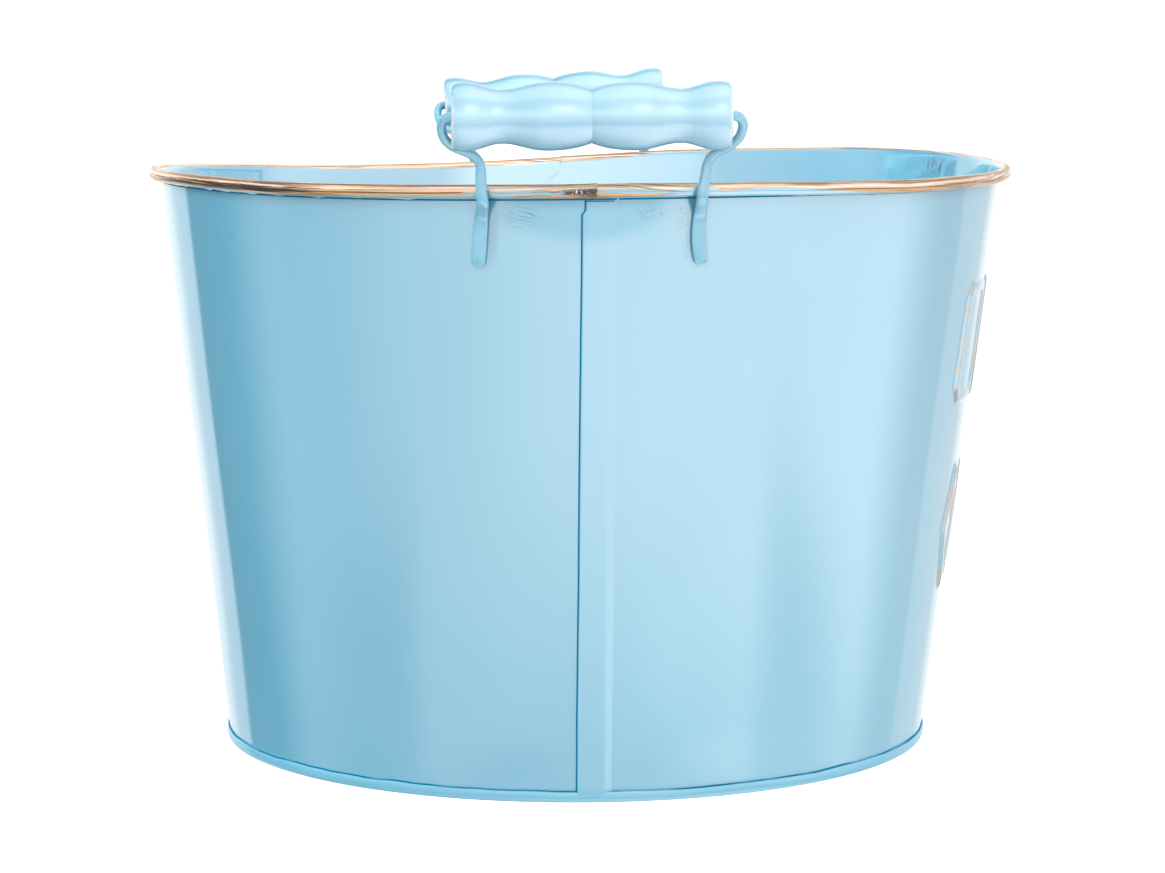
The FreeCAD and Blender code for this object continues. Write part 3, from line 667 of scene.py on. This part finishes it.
def grip(name, end, body, material):
    """The turned grip: a shape of revolution with a knife's slight unevenness, and the hole for the wire."""
    right = grip_profile()
    left = right[1:][::-1] * np.array([-1, 1])
    inside = np.array([(x, BORE_R) for x in np.linspace(44, -44, 9)])
    profile = np.concatenate([left, right, inside])
    count = 96
    angle = np.linspace(0, TAU, count, endpoint=False)
    x, r = profile[:, :1], profile[:, 1:]
    rng = np.random.default_rng(90 + end)
    uneven = 0.0
    for turn in (1, 2, 3):
        size, phase, pitch = rng.uniform(0.02, 0.06), rng.uniform(0, TAU), rng.uniform(12, 30)
        uneven = uneven + size * np.sin(turn * angle[None] + phase + x / pitch)
    outside = (r > BORE_R + 1.5) * 1.0
    radius = r + uneven * outside + 0.03 * wobble(x + 80, 5, 91 + end) * outside
    points = np.stack(np.broadcast_arrays(x, radius * np.cos(angle), radius * np.sin(angle)), -1)
    tilt = math.radians(HANDLE_TILT[0 if end < 0 else 1])
    turned = points.copy()
    turned[..., 0] = points[..., 0] * math.cos(tilt) - points[..., 2] * math.sin(tilt)
    turned[..., 2] = points[..., 0] * math.sin(tilt) + points[..., 2] * math.cos(tilt)
    turned += handle_point(end, 1, 0, 0, 0)
    rows = len(profile)
    faces = grid_faces(rows, count, wrap_rows=True, wrap_columns=True)
    piece = new_object(name, turned.reshape(-1, 3), faces, body, material, 28)
    flow = np.stack(np.broadcast_arrays(x + 60, angle[None] * 11, r), -1)
    set_attribute(piece, "flow", flow.reshape(-1, 3) / 1000.0)
    # where the painted cream highlight goes: the rounded rims of the grip's ends
    end_highlight = np.broadcast_to(step_up(np.abs(x), 48.7, 49.4) * (r > 10.2) + 0 * angle, (rows, count))
    set_attribute(piece, "edge", end_highlight.ravel())
    return piece


# ---- materials
class Nodes:
    """A node tree being built, with short calls for the nodes used here."""

    def __init__(self, tree):
        self.nodes, self.links = tree.nodes, tree.links
        self.nodes.clear()

    def put(self, socket, value):
        if hasattr(value, "is_output"):
            self.links.new(value, socket)
        elif socket.type == "RGBA":
            socket.default_value = (*value, 1.0)
        else:
            socket.default_value = value

    def attribute(self, name, vector=False):
        node = self.nodes.new("ShaderNodeAttribute")
        node.attribute_name = name
        return node.outputs["Vector" if vector else "Fac"]

    def place(self):
        return self.nodes.new("ShaderNodeTexCoord").outputs["Object"]

    def scaled(self, vector, scale, offset=(0.0, 0.0, 0.0), turn=(0.0, 0.0, 0.0)):
        node = self.nodes.new("ShaderNodeMapping")
        self.put(node.inputs["Vector"], vector)
        node.inputs["Location"].default_value = offset
        node.inputs["Rotation"].default_value = turn
        node.inputs["Scale"].default_value = scale
        return node.outputs[0]

    def noise(self, vector, scale, detail, roughness, distortion=0.0, offset=(0.0, 0.0, 0.0)):
        """Noise with scale waves a metre, one number or one for each axis."""
        scale = scale if isinstance(scale, tuple) else (scale,) * 3
        node = self.nodes.new("ShaderNodeTexNoise")
        self.put(node.inputs["Vector"], self.scaled(vector, scale, offset))
        node.inputs["Scale"].default_value = 1.0
        node.inputs["Detail"].default_value = detail
        node.inputs["Roughness"].default_value = roughness
        node.inputs["Distortion"].default_value = distortion
        return node.outputs[0]

    def ramp(self, value, start, stop, low=0.0, high=1.0, smooth=True):
        node = self.nodes.new("ShaderNodeMapRange")
        node.interpolation_type = "SMOOTHSTEP" if smooth else "LINEAR"
        self.put(node.inputs["Value"], value)
        for key, number in (("From Min", start), ("From Max", stop), ("To Min", low), ("To Max", high)):
            self.put(node.inputs[key], number)
        return node.outputs[0]

    def math(self, operation, a, b=0.0, clamp=False):
        node = self.nodes.new("ShaderNodeMath")
        node.operation = operation
        node.use_clamp = clamp
        self.put(node.inputs[0], a)
        self.put(node.inputs[1], b)
        return node.outputs[0]

    def times(self, *values):
        product = values[0]
        for value in values[1:]:
            product = self.math("MULTIPLY", product, value)
        return product

    def plus(self, a, b):
        return self.math("ADD", a, b)

    def minus(self, a, b, clamp=False):
        return self.math("SUBTRACT", a, b, clamp)

    def most(self, a, b):
        return self.math("MAXIMUM", a, b)

    def absolute(self, value):
        return self.math("ABSOLUTE", value)

    def mix(self, factor, a, b):
        node = self.nodes.new("ShaderNodeMix")
        node.data_type = "RGBA"
        self.put(node.inputs["Factor"], factor)
        self.put(node.inputs["A"], a)
        self.put(node.inputs["B"], b)
        return node.outputs["Result"]

    def split(self, vector):
        node = self.nodes.new("ShaderNodeSeparateXYZ")
        self.put(node.inputs[0], vector)
        return node.outputs

    def vector_math(self, operation, vector, other=(0.0, 0.0, 0.0), output="Vector"):
        node = self.nodes.new("ShaderNodeVectorMath")
        node.operation = operation
        self.put(node.inputs[0], vector)
        self.put(node.inputs[1], other)
        return node.outputs[output]

    def bell(self, value, centre, width):
        """1 at centre, 0 beyond width either side of it."""
        return self.ramp(self.absolute(self.minus(value, centre)), width, 0.0)

    def bump(self, height, distance, strength=1.0, normal=None):
        node = self.nodes.new("ShaderNodeBump")
        node.inputs["Strength"].default_value = strength
        node.inputs["Distance"].default_value = distance
        self.put(node.inputs["Height"], height)
        if normal is not None:
            self.put(node.inputs["Normal"], normal)
        return node.outputs[0]


class Shader(Nodes):
    """A material built round one Principled shader."""

    def __init__(self, name):
        self.material = bpy.data.materials.new(name)
        self.material.use_nodes = True
        super().__init__(self.material.node_tree)
        output = self.nodes.new("ShaderNodeOutputMaterial")
        self.bsdf = self.nodes.new("ShaderNodeBsdfPrincipled")
        self.links.new(self.bsdf.outputs[0], output.inputs[0])

    def set(self, **values):
        for key, value in values.items():
            self.put(self.bsdf.inputs[key.replace("_", " ")], value)


def srgb(r, g, b):
    """A screen colour, 0 to 255, as Blender's linear one."""
    def linear(c):
        c /= 255.0
        return c / 12.92 if c <= 0.04045 else ((c + 0.055) / 1.055) ** 2.4
    return (linear(r), linear(g), linear(b))


PAINT = srgb(92, 156, 181)
PAINT_PALE = srgb(101, 164, 188)
SHADOW_LINE = srgb(0, 112, 144)
GRIP_PAINT = srgb(96, 158, 184)
GRIP_PALE = srgb(112, 170, 192)
GOLD = srgb(198, 144, 80)
GOLD_PALE = srgb(212, 182, 146)
BROWN = srgb(108, 78, 58)
PATINA = srgb(52, 44, 44)
CREAM = srgb(226, 210, 200)
SMUDGE = srgb(70, 84, 96)


def ellipse_mask(sh, place, centre, radii):
    """1 near centre, falling to 0 at radii (millimetres) round it."""
    away = sh.vector_math("ADD", place, tuple(-c / 1000.0 for c in centre))
    near = sh.scaled(away, tuple(1000.0 / r for r in radii))
    return sh.ramp(sh.vector_math("LENGTH", near, output="Value"), 1.0, 0.45)


def scratches(sh, place, centre, reach, lean, spacing, seed):
    """A patch of short hairlines round centre, all leaning the same way."""
    leaned = sh.scaled(place, (1.0, 1.0, 1.0), turn=(0.0, lean, 0.0))
    sway = sh.noise(leaned, (60, 10, 160), 2.0, 0.5, offset=(seed, seed, seed))
    height = sh.plus(sh.split(leaned)[2], sh.times(sway, 0.006))
    lines = sh.ramp(sh.math("SINE", sh.times(height, TAU * 1000.0 / spacing)), 0.62, 0.92)
    broken = sh.noise(leaned, (170, 10, 520), 2.0, 0.5, offset=(seed, 0.0, 0.3))
    near = ellipse_mask(sh, place, centre, reach)
    return sh.times(near, lines, sh.ramp(broken, 0.42, 0.50))


# marks and shade on the front of the wall, in millimetres: the middle and the reach of each patch
SCRATCHES = (  # and their lean, spacing and seed
    ((-28.0, -214.0, 217.5), (8.5, 60.0, 6.5), -0.28, 1.35, 0.0),
    ((-136.0, -150.0, 207.0), (3.0, 60.0, 3.0), 0.9, 1.4, 3.0))
DUST = (((18.5, -214.0, 220.5), (7.0, 60.0, 5.5)), ((30.0, -214.0, 217.5), (3.6, 60.0, 8.0)),
        ((31.5, -214.0, 208.0), (1.8, 60.0, 7.0)))
DEEP_SHADE = (((-38.6, -214.0, 214.0), (2.8, 60.0, 16.0)), ((33.2, -214.0, 214.0), (2.6, 60.0, 16.0)),
              ((-4.0, -214.0, 227.0), (44.0, 60.0, 7.5)))


def tub_paint():
    """Light blue glossy paint, rubbed through to gold and patina on the rim and the ornament's ridges, with
    painted cream highlights along the rim and painted deep-blue shade in the gaps under edges.
    """
    sh = Shader("tub_paint")
    place = sh.place()
    flow = sh.attribute("flow", vector=True)
    curl, dark, ridge = sh.attribute("curl"), sh.attribute("dark"), sh.attribute("ridge")
    gap, sheet = sh.attribute("gap"), sh.attribute("sheet")

    # the blue coat: slow cloudiness and the two sheets' slightly different tones
    cloud = sh.noise(place, (8, 8, 6), 3.0, 0.5)
    tone = sh.plus(sh.ramp(cloud, 0.34, 0.66, 0.0, 0.6), sh.times(sheet, 0.4))
    blue = sh.mix(tone, PAINT, PAINT_PALE)

    # rubbed metal along the rim: a brown line on top, a painted cream highlight, streaked gold and a gold
    # strip at its edge
    streak = sh.noise(flow, (16, 1500, 1), 4.0, 0.62, 0.3)
    fine = sh.noise(flow, (70, 3400, 1), 3.0, 0.62, offset=(0.2, 0.4, 0.0))
    patches = sh.noise(flow, (24, 160, 1), 3.0, 0.55)
    ragged = sh.noise(flow, (30, 900, 1), 3.0, 0.6, offset=(0.7, 0.1, 0.0))
    edge = sh.plus(curl, sh.times(sh.minus(patches, 0.5), 0.16))
    x, _, z = sh.split(place)
    # how far down the front it reaches: low between the legs, high beside them
    by_legs = sh.most(*(ellipse_mask(sh, place, (HANDLE_X + side * 38.0, -218.0, 226.0), (13.0, 30.0, 40.0))
                        for side in (-1, 1)))
    by_legs = sh.times(by_legs, sh.ramp(ragged, 0.35, 0.60))
    lower = sh.plus(sh.times(sh.bell(x, -0.004, 0.042), 0.12), 0.80)
    dips = (sh.bell(x, 0.066, 0.046), 0.24), (sh.bell(x, -0.062, 0.030), 0.08), (by_legs, 0.20)
    for dip, share in dips:
        lower = sh.minus(lower, sh.times(dip, share))
    # on the inside it only comes down in the middle of the rear
    inside = sh.ramp(sh.absolute(sh.plus(x, 0.037)), 0.066, 0.078, 0.0, 0.09)
    on_top = sh.ramp(sh.minus(edge, inside), 0.01, 0.05)
    off_below = sh.ramp(sh.minus(edge, lower), 0.02, -0.02)
    # between the legs the blue still shows along the middle of the roll
    in_front = sh.most(ellipse_mask(sh, place, (-31.0, -218.0, 227.0), (22.0, 30.0, 40.0)),
                       ellipse_mask(sh, place, (20.0, -218.0, 227.0), (26.0, 30.0, 40.0)))
    blue_band = sh.times(sh.bell(edge, 0.66, 0.10), sh.ramp(ragged, 0.38, 0.54))
    blue_band = sh.ramp(sh.times(blue_band, in_front), 0.12, 0.30, 1.0, 0.12)
    rub = sh.times(on_top, off_below, blue_band)
    rub = sh.times(rub, sh.ramp(sh.plus(streak, sh.times(dark, 0.25)), 0.28, 0.36))

    rim = sh.mix(sh.ramp(fine, 0.38, 0.64), GOLD, GOLD_PALE)
    # painted highlight: cream bands where the roll catches the light, along its front, round the far sides
    # and on its inner top edge
    cream_highlight = sh.times(sh.bell(edge, 0.53, 0.09), sh.ramp(ragged, 0.30, 0.56, 0.35, 1.0))
    far_side = sh.ramp(sh.absolute(x), 0.075, 0.11)
    cream_highlight = sh.most(cream_highlight, sh.times(sh.bell(curl, 0.22, 0.06), far_side))
    cream_highlight = sh.most(cream_highlight, sh.times(sh.bell(curl, 0.09, 0.08), sh.ramp(ragged, 0.38, 0.52)))
    rim = sh.mix(cream_highlight, rim, CREAM)
    lines = sh.times(sh.bell(edge, 0.375, 0.12), 0.14)
    lines = sh.most(lines, sh.times(sh.bell(edge, 0.635, 0.030), 0.15))
    browning = sh.plus(sh.plus(streak, lines), sh.times(dark, 0.05))
    rim = sh.mix(sh.ramp(browning, 0.52, 0.62, 0.0, 0.9), rim, BROWN)
    aged = sh.plus(sh.times(fine, 0.45), sh.times(streak, 0.55))
    low_half = sh.times(sh.ramp(curl, 0.46, 0.60), sh.ramp(curl, 0.80, 0.74))
    aged = sh.plus(aged, sh.times(dark, low_half, 0.22))
    rim = sh.mix(sh.ramp(aged, 0.58, 0.70), rim, PATINA)
    speckle = sh.noise(place, 1100, 2.0, 0.6)
    at_joint = sh.times(sh.ramp(dark, 0.30, 0.80), sh.ramp(x, -0.05, -0.03))
    at_joint = sh.times(at_joint, sh.bell(edge, 0.63, 0.13))
    rim = sh.mix(sh.times(at_joint, sh.ramp(speckle, 0.42, 0.52)), rim, PATINA)
    rim = sh.mix(sh.times(at_joint, sh.ramp(speckle, 0.60, 0.66)), rim, CREAM)
    colour = sh.mix(rub, blue, rim)

    # rubbed ridges of the ornament
    chipped = sh.noise(place, 160, 4.0, 0.6)
    worn = sh.times(ridge, sh.ramp(chipped, 0.40, 0.56))
    colour = sh.mix(sh.times(worn, 0.9), colour, GOLD)

    # handling marks: hairline scratches and grey dust on the front, and a scuff at the rim's right side
    marks = sh.most(*(scratches(sh, place, *patch) for patch in SCRATCHES))
    dust = sh.ramp(sh.noise(place, 1900, 2.0, 0.6), 0.52, 0.62)
    for centre, radii in DUST:
        marks = sh.most(marks, sh.times(ellipse_mask(sh, place, centre, radii), dust))
    scuff = sh.noise(place, (500, 500, 90), 3.0, 0.6)
    near = ellipse_mask(sh, place, (155.0, 84.0, 226.5), (9.0, 16.0, 5.0))
    marks = sh.most(marks, sh.times(near, sh.ramp(scuff, 0.50, 0.62)))
    colour = sh.mix(sh.times(marks, 0.62), colour, SMUDGE)

    # painted shade: deep blue painted where shadow falls, along the gaps under the rolled edge, at the
    # seam's fold and over the hem, and beside the legs and under the rim between them
    crease_shade = sh.ramp(sh.absolute(gap), 0.42, 0.22)
    closed = sh.ramp(sh.noise(place, (26, 26, 1), 2.0, 0.5), 0.40, 0.54, 0.78, 0.0)
    closed = sh.times(closed, sh.ramp(z, 0.012, 0.010))
    crease_shade = sh.minus(crease_shade, sh.times(crease_shade, closed))
    deep = 0.0
    for centre, radii in DEEP_SHADE:
        deep = sh.most(deep, ellipse_mask(sh, place, centre, radii))
    shade = sh.most(sh.times(crease_shade, 0.97), sh.times(deep, 0.34))
    colour = sh.mix(sh.times(shade, sh.ramp(curl, 0.0, 0.05, 1.0, 0.0)), colour, SHADOW_LINE)

    metal = sh.times(sh.most(rub, worn), 0.36)
    bare = sh.minus(1.0, sh.most(rub, crease_shade), clamp=True)
    gloss = sh.noise(place, (30, 30, 14), 3.0, 0.6)
    rough = sh.ramp(gloss, 0.3, 0.7, 0.36, 0.44)
    rough = sh.minus(rough, sh.times(rub, 0.12))
    sh.set(Base_Color=colour, Metallic=metal, Roughness=rough)
    # the painted shade lines also lose their specular and coat reflection, so that they stay dark
    sh.set(Specular_IOR_Level=sh.ramp(crease_shade, 0.0, 1.0, 0.5, 0.0))
    duller = sh.ramp(z, 0.0, 0.13, 0.80, 1.0)
    duller = sh.times(duller, sh.ramp(z, 0.004, 0.006, 0.38, 1.0))
    between_legs = ellipse_mask(sh, place, (-5.0, -214.0, 222.0), (40.0, 60.0, 17.0))
    duller = sh.times(duller, sh.ramp(between_legs, 0.0, 1.0, 1.0, 0.5))
    coat = sh.most(sh.times(bare, duller), 0.1)
    sh.set(Coat_Weight=sh.times(coat, sh.minus(1.0, crease_shade, clamp=True)))
    sh.set(Coat_Roughness=sh.ramp(gloss, 0.3, 0.7, 0.03, 0.06), Coat_IOR=COAT_IOR)

    normal = sh.bump(cloud, 0.0006, 0.25)
    normal = sh.bump(sh.times(rub, aged), 0.00025, 0.6, normal)
    sh.set(Normal=normal)
    return sh.material


def handle_paint():
    """Blue paint over steel wire, with brush marks along it and a crack where each foot bends in."""
    sh = Shader("handle_paint")
    place = sh.place()
    flow, leg = sh.attribute("flow", vector=True), sh.split(sh.attribute("leg", vector=True))
    tone = sh.noise(place, (90, 90, 70), 3.0, 0.6)
    blue = sh.mix(sh.ramp(tone, 0.35, 0.65), PAINT, PAINT_PALE)
    strokes = sh.noise(flow, (40, 800, 1), 3.0, 0.6)
    chips = sh.noise(place, 420, 3.0, 0.55)
    depth = sh.plus(leg[1], sh.times(sh.minus(chips, 0.5), 1.2))
    crack = 0.0
    for side, drop, lean, start in ((-1, 3.6, 0.35, -0.6), (1, 7.6, 0.06, -2.0)):
        on_leg = sh.ramp(sh.times(leg[2], side), 0.4, 0.6)
        line = sh.minus(sh.minus(depth, drop), sh.times(leg[0], lean))
        line = sh.times(sh.ramp(sh.absolute(line), 0.22, 0.10), sh.ramp(leg[0], start, start + 0.8))
        crack = sh.most(crack, sh.times(line, on_leg))
    dot = ellipse_mask(sh, place, (HANDLE_X - 40.9, -215.0, 202.0), (0.5, 60.0, 0.4))
    marks = sh.most(sh.most(crack, dot), sh.ramp(chips, 0.71, 0.76))
    colour = sh.mix(sh.times(marks, 0.7), blue, SMUDGE)
    sh.set(Base_Color=colour, Roughness=sh.ramp(tone, 0.3, 0.7, 0.30, 0.40))
    sh.set(Coat_Weight=0.9, Coat_Roughness=0.16, Coat_IOR=2.0)
    normal = sh.bump(tone, 0.0004, 0.3)
    normal = sh.bump(strokes, 0.00006, 0.4, normal)
    sh.set(Normal=normal)
    return sh.material


def grip_paint():
    """Thin pale satin paint over turned wood, with faint brush strokes round it, a few grey specks and a
    painted cream highlight along the rims of its ends.
    """
    sh = Shader("grip_paint")
    place = sh.place()
    flow = sh.attribute("flow", vector=True)
    lathe = sh.noise(flow, (700, 24, 1), 3.0, 0.6, 0.2)
    cloud = sh.noise(place, 45, 3.0, 0.5)
    tone = sh.plus(sh.times(lathe, 0.22), sh.times(cloud, 0.78))
    colour = sh.mix(sh.ramp(tone, 0.34, 0.66), GRIP_PAINT, GRIP_PALE)
    fleck = sh.noise(place, 1300, 2.0, 0.5)
    near = ellipse_mask(sh, place, (22.0, -229.0, 252.0), (13.0, 20.0, 11.0))
    flecks = sh.times(sh.ramp(fleck, 0.66, 0.72), near)
    colour = sh.mix(sh.times(flecks, 0.40), colour, SMUDGE)
    # painted highlight: cream along the rounded rims of the grip's ends
    edge = sh.attribute("edge")
    colour = sh.mix(sh.times(edge, sh.ramp(cloud, 0.35, 0.6, 0.15, 0.55)), colour, CREAM)
    sh.set(Base_Color=colour, Roughness=sh.ramp(tone, 0.35, 0.65, 0.32, 0.42))
    sh.set(Coat_Weight=1.0, Coat_Roughness=0.30, Coat_IOR=2.7)
    scraped = sh.times(lathe, sh.ramp(cloud, 0.42, 0.60))
    sh.set(Normal=sh.bump(scraped, 0.00010, 0.4))
    return sh.material


def bare_steel():
    sh = Shader("rim_steel")
    place = sh.place()
    tone = sh.noise(place, 300, 3.0, 0.6)
    sh.set(Base_Color=sh.mix(sh.ramp(tone, 0.3, 0.7), srgb(120, 118, 116), srgb(160, 158, 154)))
    sh.set(Roughness=sh.ramp(tone, 0.3, 0.7, 0.3, 0.45), Normal=sh.bump(tone, 0.0001, 0.4))
    sh.bsdf.inputs["Metallic"].default_value = 1.0
    return sh.material


# ---- stage, light and camera
CAMERA_PLACE = (-63.35, -1836.66, 285.22)
CAMERA_YAW = 0.0349
CAMERA_PITCH = 0.0901
CAMERA_ROLL = -0.0047
CAMERA_LENS = 139.2
BRIGHT_SIDE = (0.82, -0.57, 0.0)
WINDOW_SIDE = (-0.08, -0.98, 0.17)
FRONT_LIGHT = (0.80, 1.56)
BACK_LIGHT = 0.86
BACK_GLARE = 0.4
LOW_LIGHT = 0.46
UNDER_LIGHT = 1.3
WINDOW_LIGHT = 0.86
FLOOR_REACH = 14.0      # metres
FILL_LIGHTS = (  # name, place in metres, watts
    ("fill_left", (-1.3, -0.6, 0.95), 13),
    ("side_left", (-1.5, 0.7, 0.8), 32),
    ("side_right", (1.5, 0.85, 0.8), 22))


def camera():
    data = bpy.data.cameras.new("camera")
    data.lens = CAMERA_LENS
    data.sensor_width = 36.0
    data.sensor_fit = "HORIZONTAL"
    data.clip_start, data.clip_end = 0.05, 50.0
    piece = link("camera", data)
    ahead = Vector((math.sin(CAMERA_YAW), math.cos(CAMERA_YAW), 0))
    right = Vector((math.cos(CAMERA_YAW), -math.sin(CAMERA_YAW), 0))
    forward = ahead * math.cos(CAMERA_PITCH) + Vector((0, 0, -math.sin(CAMERA_PITCH)))
    up = right.cross(forward)
    turned = right * math.cos(CAMERA_ROLL) + up * math.sin(CAMERA_ROLL)
    top = up * math.cos(CAMERA_ROLL) - right * math.sin(CAMERA_ROLL)
    matrix = Matrix((turned, top, -forward)).transposed().to_4x4()
    matrix.translation = Vector(CAMERA_PLACE) / 1000
    piece.matrix_world = matrix
    bpy.context.scene.camera = piece


def area_light(name, place, aim, size, power):
    data = bpy.data.lights.new(name, "AREA")
    data.shape = "RECTANGLE"
    data.size, data.size_y = size
    data.energy = power
    lamp = link(name, data)
    lamp.location = place
    lamp.rotation_euler = (Vector(aim) - Vector(place)).to_track_quat("-Z", "Y").to_euler()
    lamp.visible_camera = False
    return lamp


def world_light():
    """A studio seen from the tub: bright to the front right, dim to the front left, a white wall behind."""
    world = bpy.data.worlds.new("studio")
    bpy.context.scene.world = world
    world.use_nodes = True
    sky = Nodes(world.node_tree)
    output = sky.nodes.new("ShaderNodeOutputWorld")
    background = sky.nodes.new("ShaderNodeBackground")
    sky.links.new(background.outputs[0], output.inputs[0])
    place = sky.nodes.new("ShaderNodeTexCoord").outputs["Generated"]
    x, y, z = sky.split(place)
    leftness = sky.ramp(x, -0.3, 0.3, 1.0, 0.0)
    rightness = sky.ramp(x, -0.3, 0.3)

    # the front fades towards the back: early and deep at -X, late and a little at +X
    early = sky.times(leftness, sky.ramp(y, -0.5, 0.1, 0.0, 0.33))
    deep = sky.times(leftness, sky.ramp(y, 0.30, 0.66, 0.0, 0.94))
    late = sky.times(rightness, sky.ramp(y, 0.25, 0.62, 0.0, 0.5))
    # and it is dimmer low down at both sides
    low_sides = sky.ramp(sky.absolute(x), 0.82, 0.95, 0.0, 0.46)
    low_sides = sky.times(low_sides, sky.ramp(z, -0.34, -0.26, 1.0, 0.0))
    bright = sky.vector_math("DOT_PRODUCT", place, BRIGHT_SIDE, "Value")
    front = sky.ramp(bright, -1.0, 1.0, *FRONT_LIGHT)
    for dimming in (early, deep, late, low_sides):
        front = sky.minus(front, sky.times(front, dimming))
    under = sky.ramp(z, -0.62, -0.48, UNDER_LIGHT - LOW_LIGHT, 0.0)
    front = sky.times(front, sky.plus(sky.ramp(z, -0.43, -0.33, LOW_LIGHT, 1.0), under))

    window = sky.vector_math("DOT_PRODUCT", place, WINDOW_SIDE, "Value")
    window = sky.ramp(window, 0.60, 0.78, 0.0, WINDOW_LIGHT)
    window = sky.times(window, sky.ramp(z, 0.0, 0.06), sky.ramp(z, 0.30, 0.45, 1.0, 0.0))

    # the backdrop starts farther round at the top left than at the bottom left
    lean = sky.times(leftness, sky.ramp(z, -0.43, -0.25, -0.115, 0.115, smooth=False))
    back = sky.ramp(sky.minus(y, lean), 0.70, 0.725, 0.0, BACK_LIGHT)
    glare = sky.ramp(y, 0.89, 0.95, 1.0, 1.0 + BACK_GLARE)
    back = sky.times(back, glare, sky.ramp(z, -0.43, -0.33, 1.35, 1.0))
    sky.put(background.inputs["Strength"], sky.most(sky.plus(front, window), back))
    background.inputs["Color"].default_value = (1.0, 1.0, 1.0, 1.0)


def floor():
    sh = Shader("floor_white")
    tone = sh.noise(sh.place(), 3, 3.0, 0.5)
    sh.set(Base_Color=sh.mix(tone, (0.60, 0.60, 0.60), (0.64, 0.64, 0.64)), Roughness=0.9)
    sh.set(Specular_IOR_Level=0.0, Emission_Color=(1.0, 1.0, 1.0), Emission_Strength=0.85)
    mesh = bpy.data.meshes.new("floor")
    corners = [(x * FLOOR_REACH, y * FLOOR_REACH, 0) for x, y in ((-1, -1), (1, -1), (1, 1), (-1, 1))]
    mesh.from_pydata(corners, [], [(0, 1, 2, 3)])
    mesh.materials.append(sh.material)
    piece = link("floor", mesh)
    piece.visible_glossy = piece.visible_diffuse = False


# ---- the scene
def build():
    paint, wire_paint, wood_paint, steel = tub_paint(), handle_paint(), grip_paint(), bare_steel()
    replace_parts(wall_sheet("wall_right_sheet", -1, paint), "wall_right")
    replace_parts(wall_sheet("wall_left_sheet", 1, paint), "wall_left")
    seam_fold("front_seam_fold", -1, paint)
    seam_fold("rear_seam_fold", 1, paint)
    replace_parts(base_pan("base_pan_hemmed", paint), "base_pan")
    for end, place in ((-1, "front"), (1, "rear")):
        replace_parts(handle(f"{place}_handle_wire", end, wire_paint), f"{place}_handle")
        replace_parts(grip(f"{place}_grip_turned", end, f"{place}_grip", wood_paint), f"{place}_grip")
    for name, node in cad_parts.items():
        if name.endswith("_weld"):
            node.data.materials.clear()
            node.data.materials.append(wire_paint)
    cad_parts["rim_wire"].data.materials.clear()
    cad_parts["rim_wire"].data.materials.append(steel)


build()
floor()
world_light()
area_light("key_soft", (0.55, -2.1, 1.35), (0, 0, 0.2), (0.9, 0.6), 3)
area_light("top_soft", (0.0, 0.0, 1.7), (0, 0, 0), (1.8, 1.8), 8)
for name, spot, power in FILL_LIGHTS:
    fill = area_light(name, spot, (0, 0, 0.16), (0.8, 0.8), power)
    fill.visible_glossy = False
camera()
bpy.context.scene.view_settings.view_transform = "Standard"
